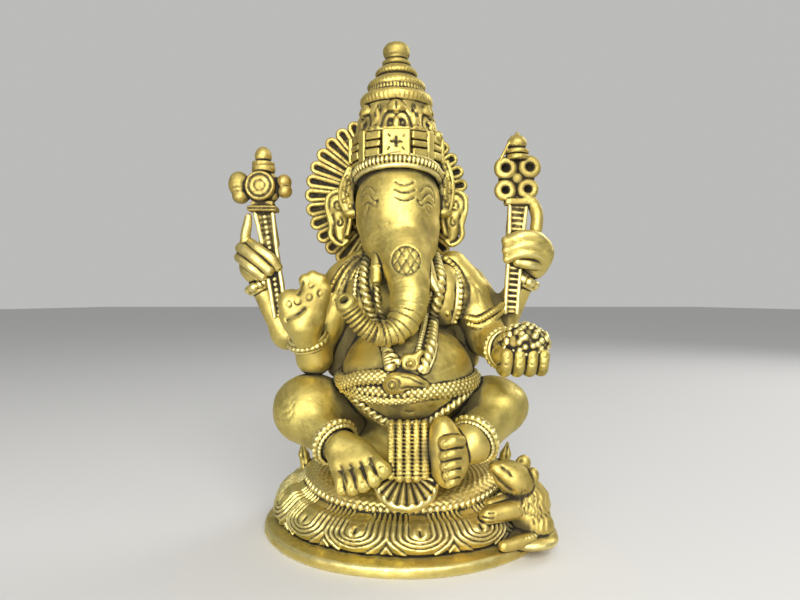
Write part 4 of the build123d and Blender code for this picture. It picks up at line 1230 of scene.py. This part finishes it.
def axe_head():
    clay = block("axe_head", "emblems", margin=3.4)
    middle = vec(-43.9, -4.6, 104.8)
    clay.add(disc(middle + (0, 0.8, 0), (0, 1, 0), 5.3, 2.6, 1.2))
    clay.add(disc(middle + (-0.2, -1.6, 0), (0, 1, 0), 4.5, 2.6, 0.7), 0.3)
    clay.line(ring_path(middle + (-0.2, -4.3, 0), (0, 1, 0), 3.3, 36), 0.8, -0.5)
    clay.line(ring_path(middle + (-0.2, -4.3, 0), (0, 1, 0), 1.6, 20), 0.6, -0.3)
    clay.add(egg(middle + (-7.3, -0.2, 1), (3.3, 3, 3.9)), 0.6)
    clay.add(egg(middle + (-6.8, -0.2, -2.9), (2.6, 2.8, 2.2)), 0.9)
    clay.line([middle + (-10, -2.2, -0.7), middle + (-7.4, -3.2, -0.4), middle + (-5.2, -3, -0.3)], 0.7, -0.2)
    clay.add(egg(middle + (6.6, -0.3, 1.6), (2.3, 2.7, 2.4)), 0.5)
    clay.add(egg(middle + (6.9, -0.3, -1.2), (2.2, 2.5, 2.2)), 0.5)
    clay.line([middle + (5.2, -2.9, 0.2), middle + (7.2, -3, 0.3), middle + (9.4, -2, 0.3)], 0.8, -0.4)
    clay.add(slab(middle + (0.2, -0.4, -6.8), (4.5, 2.9, 0.85), 0.5), 0.2)
    clay.line([middle + (-4.4, -3.3, -6.8), middle + (4.8, -3.3, -6.8)], 0.6, -0.35)
    clay.add(slab(middle + (0.2, -0.4, -5.3), (3.4, 2.4, 0.8), 0.4), 0.2)
    clay.add(disc(middle + (0.2, 0, 5.6), (0, 0, 1), 3.6, 1, 0.5), 0.3)
    for side in (-1, 1):
        clay.line([middle + (side * 4.9, -3, 3.4), middle + (side * 5.4, -3, 0),
                   middle + (side * 4.9, -3, -3.4)], 0.9, -0.6)


def axe_finial():
    clay = block("axe_finial", "emblems", margin=2.6)
    middle = vec(-43.8, -4.6, 0)
    clay.add(disc(middle + (0, 0, 111.9), (0, 0, 1), 3.4, 0.8, 0.5))
    clay.add(egg(middle + (0, 0, 114.4), (2.6, 2.6, 2.9)), 0.2)
    clay.line(ring_path(middle + (0, 0, 112.9), (0, 0, 1), 2.7, 40), 0.8, -0.4)


def noose_head():
    clay = block("noose_head", "emblems", margin=3.4, below=8)
    clay.add(slab((34.8, -3, 107.4), (5.6, 1.3, 5.6), 0.9))
    clay.line([(34.8, -4.3, 112.4), (34.8, -4.3, 102.6)], 1.2, -0.5)
    clay.line([(30, -4.3, 107.5), (39.6, -4.3, 107.5)], 1.2, -0.5)
    for x, z, radius in ((31.2, 110.8, 2.3), (38.6, 111.1, 2.3), (31.1, 104, 2.1), (38, 104.3, 2.1)):
        clay.add(hoop((x, -4.2, z), (0, 1, 0), radius, 1.3), 0.3)
        clay.cut(limb((x, -12, z), (x, -3.6, z), radius - 1, radius - 1.1), 0.1)
        # The floor of each hole is darkened: dirt and painted shade.
        cut, (px, _, pz) = clay.window((x - 3, -8, z - 3), (x + 3, 2, z + 3))
        inside = np.sqrt((px - x) ** 2 + (pz - z) ** 2)
        clay.darken_with_dirt_and_shade(cut, step_up(radius - 0.7 - inside, 0, 0.4).astype(np.float32))
    clay.add(egg((34.8, -4.2, 107.6), (1.9, 1.4, 1.9)), 0.4)
    clay.add(slab((34.9, -3.6, 100.4), (3.9, 2.2, 1), 0.6), 0.2)
    loop = smooth_path([(38.4, -4, 101.6), (40.6, -4.4, 99.4), (41.6, -4.6, 96), (41.4, -4.4, 92)], 5)
    clay.tube(loop - (0.7, 0, 0), 1.9, blend=0.3)
    clay.add(disc((34.9, -3.4, 114.2), (0, 0, 1), 3.7, 0.8, 0.5), 0.2)


def noose_finial():
    clay = block("noose_finial", "emblems", margin=2.6)
    clay.add(disc((34.9, -3.3, 116.1), (0, 0, 1), 3.7, 0.8, 0.5))
    clay.add(egg((34.9, -3.3, 118.7), (3.1, 3.1, 2.6)), 0.2)
    clay.add(limb((34.9, -3.3, 119.6), (34.9, -3.3, 121.6), 1.6, 0.7), 0.6)
    clay.line(ring_path((34.9, -3.3, 117.1), (0, 0, 1), 3.3, 40), 0.8, -0.4)
    clay.add(limb((33.2, -4.6, 120.6), (29.4, -5.2, 113), 0.45, 0.55), 0.2)


# ---------------------------------------------------------------- mouse
def mouse_rock():
    clay = block("mouse_rock", "mouse", below=1)
    lobe = turn_z(33)
    clay.add(egg((32.8, -20.6, 4.2), (9, 11.2, 3), lobe))
    clay.add(egg((34.6, -20, 5.6), (6.6, 9, 3.2), lobe), 0.8)
    clay.keep(lambda x, y, z: 0.6 - z)


def mouse():
    clay = block("mouse", "mouse", margin=4.5)
    clay.add(egg((34.4, -20.4, 11), (6.4, 7.4, 7.4)))
    clay.add(limb((35, -20.6, 14), (32.6, -21.8, 18.4), 5.2, 4.4), 2)
    head = turn_y(30)
    clay.add(egg((30.2, -23.2, 20.4), (6.6, 4.5, 4.5), head), 0.8)
    clay.add(egg((25.4, -24.4, 23.2), (2.6, 2.2, 2), head), 1.4)
    clay.add(limb((32.4, -24.6, 12.6), (22, -28.8, 12), 2.9, 2.3), 0.6)
    clay.add(limb((29.4, -22.4, 14.2), (23.2, -25.4, 14), 2, 1.5), 0.4)
    clay.add(egg((36.2, -23.4, 7.6), (5, 5.2, 4.6)), 0.6)
    clay.add(limb((34, -28, 5.2), (26, -31.4, 4.8), 2, 1.5), 0.5)

    def fur(x, y, z):
        wave = np.sin(2 * pi * (0.8 * x + 0.35 * z + 0.5 * np.sin(0.9 * z + 0.4 * y)) / 1.2)
        back = step_up(x + 0.5 * z, 36, 40) * step_up(-np.abs(z - 13), -7, -5)
        return 0.13 * wave * back

    clay.raise_skin(fur)
    clay.etch([(26.6, 24.2), (27.8, 23.4), (28.8, 22.2)], 1, -0.7)
    clay.etch([(23.6, 22.4), (25, 20.9), (26.6, 19.4), (28.6, 18)], 1.6, -1)
    clay.etch([(33.4, 24), (35, 22), (35.6, 19.4), (34.4, 17), (31.4, 15.8)], 0.9, -0.5, 4)
    for shift in (0, 1.3, 2.6):
        clay.etch([(20, 13.6 - shift), (22, 13.3 - shift), (23.6, 13.2 - shift)], 0.65, -0.4)
    for number in range(7):
        x, z = 31.6 + 0.9 * number, 18.6 - 0.5 * number
        strand = [(x + 0.25 * sin(2.2 * t), z - t) for t in np.arange(0, 7.4 - 0.4 * number, 0.8)]
        clay.etch(strand, 0.6, -0.3, 3)


def mouse_ears():
    clay = block("mouse_ears", "mouse")
    for x, y, z in ((34.6, -24.2, 20.9), (33.6, -18.4, 22.8)):
        clay.add(egg((x, y, z), (2.3, 1.8, 2.9), turn_y(24)))
        clay.etch([(x - 0.9, z + 1.6), (x + 0.2, z + 0.6), (x + 0.6, z - 1)], 1.2, -0.8)


def mouse_tail():
    clay = block("mouse_tail", "mouse")
    run = smooth_path([(40.2, -18, 8, 1.3), (39, -24.4, 6.8, 1.25), (34, -28.6, 6, 1.1),
                       (28.4, -30.6, 5.4, 0.9)], 6)
    clay.tube(run, raised=ribs(1, 0.15, 2))


def sculpt(*pieces):
    for piece in pieces:
        piece()


def sculpt_all():
    sculpt(base_plate, lotus_pedestal, lotus_petals, seat_cushion, seat_bead_rim, seat_leaves)
    body = torso()
    sculpt(right_leg, left_leg, right_foot, left_foot)
    anklet("right_anklet", (-19.4, -25.2, 30.9), (10.6, -13, -6), 5.8)
    anklet("left_anklet", (18.9, -25.2, 31.7), (-8.8, -13.5, -6), 6.2)
    sculpt(apron_pleats, cloth_fan)
    waist_cord(body)
    sculpt(snake_belt, snake_head, face, tusks)
    ear("right_ear", (-20.9, 0.4, 96.4), -1)
    ear("left_ear", (15.7, 0.4, 96.4), 1)
    sculpt(crown_band, crown_body, crown_spire, crown_finial, lappets, halo)
    sculpt(right_front_arm, left_front_arm, right_front_hand, left_front_hand, sweet_bowl)
    bracelet("right_front_bracelet", (-28.6, -13.2, 58.2), (-0.16, -0.42, 0.9), 5.3)
    bracelet("left_front_bracelet", (28.4, -15.4, 56), (4, -9.5, -0.8), 5.3)
    bracelet("right_rear_bracelet", (-45.3, -1.6, 75), (-0.46, -0.12, 0.88), 3.9, beaded=False)
    bracelet("left_rear_bracelet", (37.2, -1.4, 76.4), (0.42, -0.1, 0.9), 4.1, beaded=False)
    sculpt(rear_arms, rear_hands)
    emblem_shaft("axe_shaft", (-37.6, -7.6, 65), (-43.6, -4.6, 98.6), False)
    emblem_shaft("noose_shaft", (32.4, -6, 66), (35.2, -3.4, 102), True)
    sculpt(axe_head, axe_finial, noose_head, noose_finial)
    for ornament in (right_garland, left_garland, sacred_thread, pendant):
        ornament(body)
    sculpt(mouse_rock, mouse, mouse_ears, mouse_tail)


# ---------------------------------------------------------------- skinning
def at_places(values, low, grain, places):
    """Values of a grid between its points, at places in millimetres."""
    spot = (places - low) / grain
    spot = np.clip(spot, 0, np.array(values.shape) - 1.001)
    cell = spot.astype(int)
    part = spot - cell
    total = 0
    for i in (0, 1):
        for j in (0, 1):
            for k in (0, 1):
                share = np.abs(1 - i - part[:, 0]) * np.abs(1 - j - part[:, 1]) * np.abs(1 - k - part[:, 2])
                total = total + share * values[cell[:, 0] + i, cell[:, 1] + j, cell[:, 2] + k]
    return total


def settle(clay, points):
    """Moves points onto the skin itself."""
    step = clay.grain * 0.5
    for _ in range(2):
        value = at_places(clay.field, clay.low, clay.grain, points)
        rises = [at_places(clay.field, clay.low, clay.grain, points + step * UPRIGHT[i])
                 - at_places(clay.field, clay.low, clay.grain, points - step * UPRIGHT[i])
                 for i in range(3)]
        slope = np.stack(rises, axis=1) / (2 * step)
        size = np.maximum((slope**2).sum(1), 0.05)
        move = np.clip(value / size, -0.5 * clay.grain, 0.5 * clay.grain)
        points = points - slope * move[:, None]
    return points


def without_crumbs(points, quads):
    """Drops loose bits with few faces."""
    label = np.arange(len(points))
    while True:
        lowest = label[quads].min(1)
        new = label.copy()
        for column in range(4):
            np.minimum.at(new, quads[:, column], lowest)
        new = new[new]
        if np.array_equal(new, label):
            break
        label = new
    faces = np.bincount(label[quads[:, 0]], minlength=len(points))
    kept = quads[faces[label[quads[:, 0]]] >= CRUMB_FACES]
    used = np.unique(kept)
    place = np.zeros(len(points), int)
    place[used] = np.arange(len(used))
    return points[used], place[kept]


def uneven(x, y, z):
    """The slight waviness of a hand-finished wax."""
    a = np.sin(0.8 * x + 0.5 * y + 0.2 * z)
    b = np.sin(-0.4 * x + 0.7 * y + 0.6 * z + 2)
    c = np.sin(0.3 * x - 0.6 * y + 0.9 * z + 4)
    return 0.035 * (a * b + b * c + c * a)


def skin(clay):
    """The closed mesh around a clay: points in millimetres and faces with four corners."""
    clay.raise_skin(uneven)
    field = clay.field
    for i in range(3):
        edge = np.moveaxis(field, i, 0)
        edge[0], edge[-1] = np.maximum(edge[0], 0.2), np.maximum(edge[-1], 0.2)
    grid = openvdb.FloatGrid(FAR)
    grid.copyFromArray(np.ascontiguousarray(field))
    points, quads = grid.convertToQuads(isovalue=0.0)
    points, quads = without_crumbs(np.asarray(points, float), np.asarray(quads).astype(int))
    return settle(clay, clay.low + points * clay.grain), quads


# ---------------------------------------------------------------- how enclosed each place is
CELL = 0.45


def blurred(values, spread):
    """Values smoothed along each axis, with the spread in cells."""
    reach = int(np.ceil(2.6 * spread))
    weights = np.exp(-0.5 * (np.arange(-reach, reach + 1) / spread) ** 2)
    weights /= weights.sum()
    for axis in range(3):
        values = np.moveaxis(values, axis, 0)
        padded = np.concatenate([np.repeat(values[:1], reach, 0), values, np.repeat(values[-1:], reach, 0)])
        values = sum(w * padded[i:i + len(values)] for i, w in enumerate(weights.astype(np.float32)))
        values = np.moveaxis(values, 0, axis)
    return values


def resampled(clay, axes):
    """A clay's distances at a coarser grid's places."""
    values = clay.field
    for i, places in enumerate(axes):
        spot = np.clip((places - clay.low[i]) / clay.grain, 0, values.shape[i] - 1.001)
        cell = spot.astype(int)
        part = (spot - cell).reshape([-1 if j == i else 1 for j in range(3)]).astype(np.float32)
        values = np.take(values, cell, i) * (1 - part) + np.take(values, cell + 1, i) * part
    return values


def grooves(clay, points):
    """How deep in a chased line or between ribs each place lies: 0 on plain skin, towards 1 in a groove."""
    full = blurred(np.clip(0.5 - clay.field / clay.grain, 0, 1), 0.42 / clay.grain)
    depth = np.clip((at_places(full, clay.low, clay.grain, points) - 0.5) / 0.16, -1, 1)
    if clay.soot_and_shade is None:
        return depth
    return np.maximum(depth, np.clip(1.25 * at_places(clay.soot_and_shade, clay.low, clay.grain, points), 0, 1))


def enclosure():
    """How full the space around each place is: a fine grid and a coarse one, with their low corner."""
    low = np.array(cad_box[0]) / MM - 8
    size = np.ceil((np.array(cad_box[1]) / MM + 8 - low) / CELL).astype(int)
    full = np.zeros(size, np.float32)
    for clay, _ in made.values():
        first = np.maximum(np.ceil((clay.low - low) / CELL), 0).astype(int)
        top = clay.low + clay.grain * (np.array(clay.field.shape) - 1)
        last = np.minimum(np.floor((top - low) / CELL).astype(int) + 1, size)
        axes = [low[i] + CELL * np.arange(first[i], last[i]) for i in range(3)]
        cut = tuple(slice(f, l) for f, l in zip(first, last))
        full[cut] = np.maximum(full[cut], np.clip(0.5 - resampled(clay, axes) / CELL, 0, 1))
    near = blurred(full, 0.65 / CELL)
    i, j, k = np.array(full.shape) // 4
    coarse = full[:4 * i, :4 * j, :4 * k].reshape(i, 4, j, 4, k, 4).mean((1, 3, 5))
    wide = blurred(coarse, 2.6 / (4 * CELL))
    return low, near, low + 1.5 * CELL, wide


# ---------------------------------------------------------------- brass
def node(tree, kind, inputs=(), **settings):
    made_node = tree.nodes.new(kind)
    for name, value in settings.items():
        setattr(made_node, name, value)
    for name, value in dict(inputs).items():
        if isinstance(value, bpy.types.NodeSocket):
            tree.links.new(value, made_node.inputs[name])
        else:
            made_node.inputs[name].default_value = value
    return made_node


def ramp(tree, value, low, high, start=0.0, end=1.0):
    """A smooth step of a value from one level to another."""
    inputs = {"Value": value, "From Min": low, "From Max": high, "To Min": start, "To Max": end}
    return node(tree, "ShaderNodeMapRange", inputs, interpolation_type="SMOOTHSTEP").outputs["Result"]


def calc(tree, operation, first, second):
    return node(tree, "ShaderNodeMath", {0: first, 1: second}, operation=operation).outputs[0]


def mix(tree, share, first, second):
    made_node = node(tree, "ShaderNodeMix", {0: share}, data_type="RGBA")
    for socket, value in ((made_node.inputs[6], first), (made_node.inputs[7], second)):
        if isinstance(value, bpy.types.NodeSocket):
            tree.links.new(value, socket)
        else:
            socket.default_value = value
    return made_node.outputs[2]


def noise(tree, place, scale, detail=3.0, rough=0.55):
    inputs = {"Vector": place, "Scale": scale, "Detail": detail, "Roughness": rough}
    return node(tree, "ShaderNodeTexNoise", inputs).outputs["Fac"]


GOLD, TARNISH = (0.60, 0.495, 0.145, 1), ((0.22, 0.165, 0.045, 1), (0.36, 0.285, 0.085, 1))
# The rubbed-bright colour, then the near-black pair for dirt and painted shade.
WORN, DIRT_AND_SHADE = (0.90, 0.80, 0.38, 1), ((0.013, 0.010, 0.005, 1), (0.036, 0.026, 0.010, 1))
# the first entry shifts how much of a piece is darkened by dirt and painted shade, warmth how orange it is
# and grain how rough its casting is
FINISHES_AND_SHADE = {
    "pedestal": {"dirt_and_shade": -0.35, "warmth": 0.3, "grain": 1.1},
    "body": {"dirt_and_shade": 0.0, "warmth": 0.0, "grain": 0.8},
    "cloth": {"dirt_and_shade": 0.2, "warmth": 0.2, "grain": 1.0},
    "jewellery": {"dirt_and_shade": 0.1, "warmth": 0.0, "grain": 1.0},
    "crown": {"dirt_and_shade": 0.1, "warmth": 0.1, "grain": 1.0},
    "halo": {"dirt_and_shade": 0.75, "warmth": 0.6, "grain": 1.3},
    "emblems": {"dirt_and_shade": 0.7, "warmth": 0.5, "grain": 1.4},
    "mouse": {"dirt_and_shade": 0.1, "warmth": 0.2, "grain": 1.1},
}


def brass(name, dirt_and_shade, warmth, grain):
    """Old hand-rubbed brass: bright on what stands out, brown to black dirt in the chased lines, dirt and
    painted shade in the nooks, and painted shade where parts hide each other.
    """
    material = bpy.data.materials.new(name)
    material.use_nodes = True
    tree = material.node_tree
    shader = tree.nodes["Principled BSDF"]
    place = node(tree, "ShaderNodeTexCoord").outputs["Object"]

    def noted_at(attribute):
        return node(tree, "ShaderNodeAttribute", attribute_name=attribute).outputs["Fac"]

    def plus(first, second):
        return calc(tree, "ADD", first, second)

    def minus(first, second):
        return calc(tree, "SUBTRACT", first, second)

    def times(first, second):
        return calc(tree, "MULTIPLY", first, second)

    def larger(first, second):
        return calc(tree, "MAXIMUM", first, second)

    groove, cavity, shelter = noted_at("groove"), noted_at("cavity"), noted_at("shelter")
    cloud, broad = noise(tree, place, 110.0, 4.0), noise(tree, place, 38.0, 2.0)
    speck = noise(tree, place, 900.0, 3.0, 0.65)

    # Dirt lies in the chased lines; the nooks take dirt and painted shade, and what its neighbours shelter
    # takes painted shade; the darkest of the three is used.
    rough_edge = times(minus(speck, 0.5), 0.5)
    lined = ramp(tree, plus(groove, rough_edge), 0.10 - 0.2 * dirt_and_shade, 0.56 - 0.2 * dirt_and_shade)
    nook_dirt_and_shade = ramp(tree, plus(cavity, times(rough_edge, 0.2)), 0.51 - 0.06 * dirt_and_shade, 0.63 - 0.08 * dirt_and_shade)
    painted_occlusion_shade = ramp(tree, plus(shelter, times(minus(cloud, 0.5), 0.35)), 0.47 - 0.1 * dirt_and_shade, 0.62 - 0.1 * dirt_and_shade)
    dirt_and_painted_shade = larger(times(lined, 0.92), larger(nook_dirt_and_shade, times(painted_occlusion_shade, 0.85)))
    # A film of tarnish lies in patches, and the ridges are rubbed bright.
    film = ramp(tree, plus(cloud, times(rough_edge, 0.3)), 0.42 - 0.1 * dirt_and_shade, 0.68 - 0.1 * dirt_and_shade)
    worn = ramp(tree, plus(groove, times(rough_edge, 0.6)), -0.05, -0.75)

    gold = mix(tree, ramp(tree, broad, 0.38, 0.62), GOLD, (0.66, 0.52 - 0.05 * warmth, 0.15, 1))
    tarnish = mix(tree, ramp(tree, speck, 0.35, 0.6), *TARNISH)
    clean = mix(tree, times(worn, 0.8), mix(tree, times(film, 0.65), gold, tarnish), WORN)
    # The near-black of the dirt and painted shade, laid where the mask above is high.
    dark = mix(tree, ramp(tree, cloud, 0.4, 0.6), *DIRT_AND_SHADE)
    tree.links.new(mix(tree, dirt_and_painted_shade, clean, dark), shader.inputs["Base Color"])
    tree.links.new(minus(1.0, times(dirt_and_painted_shade, 0.7)), shader.inputs["Metallic"])
    satin = plus(ramp(tree, speck, 0.3, 0.7, 0.41, 0.57), times(film, 0.12))
    tree.links.new(plus(minus(satin, times(worn, 0.08)), times(dirt_and_painted_shade, 0.34)), shader.inputs["Roughness"])

    pits, waves = noise(tree, place, 1500.0, 3.0, 0.6), noise(tree, place, 330.0, 2.0)
    turn = {"Vector": place, "Rotation": (0.4, 0.7, 0.2), "Scale": (0.25, 1, 1)}
    files = noise(tree, node(tree, "ShaderNodeMapping", turn).outputs[0], 2600.0, 2.0)
    height = plus(plus(times(pits, 0.4 * grain), times(waves, grain)), times(files, 0.16))
    bump = node(tree, "ShaderNodeBump", {"Strength": 0.5, "Distance": 0.00025, "Height": height})
    tree.links.new(bump.outputs["Normal"], shader.inputs["Normal"])
    return material


def build_pieces():
    low, near, wide_low, wide = enclosure()
    looks = {slot: brass("brass_" + slot, **finish_and_shade) for slot, finish_and_shade in FINISHES_AND_SHADE.items()}
    for name, (clay, slot) in made.items():
        points, quads = skin(clay)
        mesh = bpy.data.meshes.new(name)
        mesh.vertices.add(len(points))
        mesh.vertices.foreach_set("co", (points * MM).astype(np.float32).ravel())
        mesh.loops.add(quads.size)
        mesh.loops.foreach_set("vertex_index", quads.astype(np.int32).ravel())
        mesh.polygons.add(len(quads))
        mesh.polygons.foreach_set("loop_start", np.arange(0, quads.size, 4, dtype=np.int32))
        mesh.polygons.foreach_set("use_smooth", np.ones(len(quads), bool))
        mesh.update(calc_edges=True)
        # cavity and shelter later set the painted shade in nooks and between parts.
        notes = {"groove": grooves(clay, points), "cavity": at_places(near, low, CELL, points),
                 "shelter": at_places(wide, wide_low, 4 * CELL, points)}
        for kind, values in notes.items():
            mesh.attributes.new(kind, "FLOAT", "POINT").data.foreach_set("value", values.astype(np.float32))
        mesh.materials.append(looks[slot])
        piece = bpy.data.objects.new(name + "_cast", mesh)
        bpy.context.scene.collection.objects.link(piece)
        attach(piece, "root")
        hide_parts(name)


# ---------------------------------------------------------------- stage
def paper(name, colour, roughness):
    material = bpy.data.materials.new(name)
    material.use_nodes = True
    tree = material.node_tree
    shader = tree.nodes["Principled BSDF"]
    place = node(tree, "ShaderNodeTexCoord").outputs["Object"]
    tone = mix(tree, noise(tree, place, 6.0), tuple(0.97 * c for c in colour) + (1,), colour + (1,))
    tree.links.new(tone, shader.inputs["Base Color"])
    shader.inputs["Roughness"].default_value = roughness
    return material


def area_light(name, place, aim, size, power, colour=(1, 1, 1)):
    light = bpy.data.lights.new(name, "AREA")
    light.shape, light.size, light.size_y = "RECTANGLE", size[0], size[1]
    light.energy, light.color = power, colour
    lamp = bpy.data.objects.new(name, light)
    lamp.location = place
    lamp.rotation_euler = (Vector(aim) - Vector(place)).to_track_quat("-Z", "Y").to_euler()
    bpy.context.scene.collection.objects.link(lamp)


PAPER, BACKDROP = (0.66, 0.65, 0.63), (0.50, 0.50, 0.49, 1)
LOW_ROOM, HIGH_ROOM = (0.22, 0.217, 0.213, 1), (0.55, 0.56, 0.57, 1)
CAMERA_PLACE = (-0.0015, -0.1906, 0.070)
LENS, SENSOR = 27.05, 36.0


def studio():
    """A pale floor, soft lights and the camera."""
    mesh = bpy.data.meshes.new("floor")
    mesh.from_pydata([(-3, -3, 0), (3, -3, 0), (3, 6, 0), (-3, 6, 0)], [], [(0, 1, 2, 3)])
    mesh.materials.append(paper("floor_paper", PAPER, 0.75))
    floor = bpy.data.objects.new("floor", mesh)
    bpy.context.scene.collection.objects.link(floor)

    area_light("key", (0.10, -0.56, 0.42), (0, 0, 0.065), (0.44, 0.36), 3.9, (1, 0.99, 0.96))
    area_light("fill", (-0.20, -0.60, 0.07), (0, 0, 0.05), (0.40, 0.14), 3.0, (0.97, 0.98, 1))
    area_light("rim", (0.5, 0.30, 0.45), (0, 0, 0.09), (0.3, 0.4), 1.6)
    world = bpy.data.worlds.new("studio")
    bpy.context.scene.world = world
    world.use_nodes = True
    tree = world.node_tree
    place = node(tree, "ShaderNodeTexCoord").outputs["Generated"]
    upward = node(tree, "ShaderNodeSeparateXYZ", {"Vector": place}).outputs["Z"]
    room = mix(tree, ramp(tree, upward, 0.1, 0.9), LOW_ROOM, HIGH_ROOM)
    in_view = node(tree, "ShaderNodeLightPath").outputs["Is Camera Ray"]
    tree.links.new(mix(tree, in_view, room, BACKDROP), tree.nodes["Background"].inputs["Color"])

    camera = bpy.data.objects.new("camera", bpy.data.cameras.new("camera"))
    camera.data.sensor_width, camera.data.lens = SENSOR, LENS
    camera.data.clip_start = 0.01
    camera.location = CAMERA_PLACE
    camera.rotation_euler = (pi / 2, 0, 0)
    bpy.context.scene.collection.objects.link(camera)
    bpy.context.scene.camera = camera
    bpy.context.scene.view_settings.view_transform = "Standard"


sculpt_all()
build_pieces()
studio()
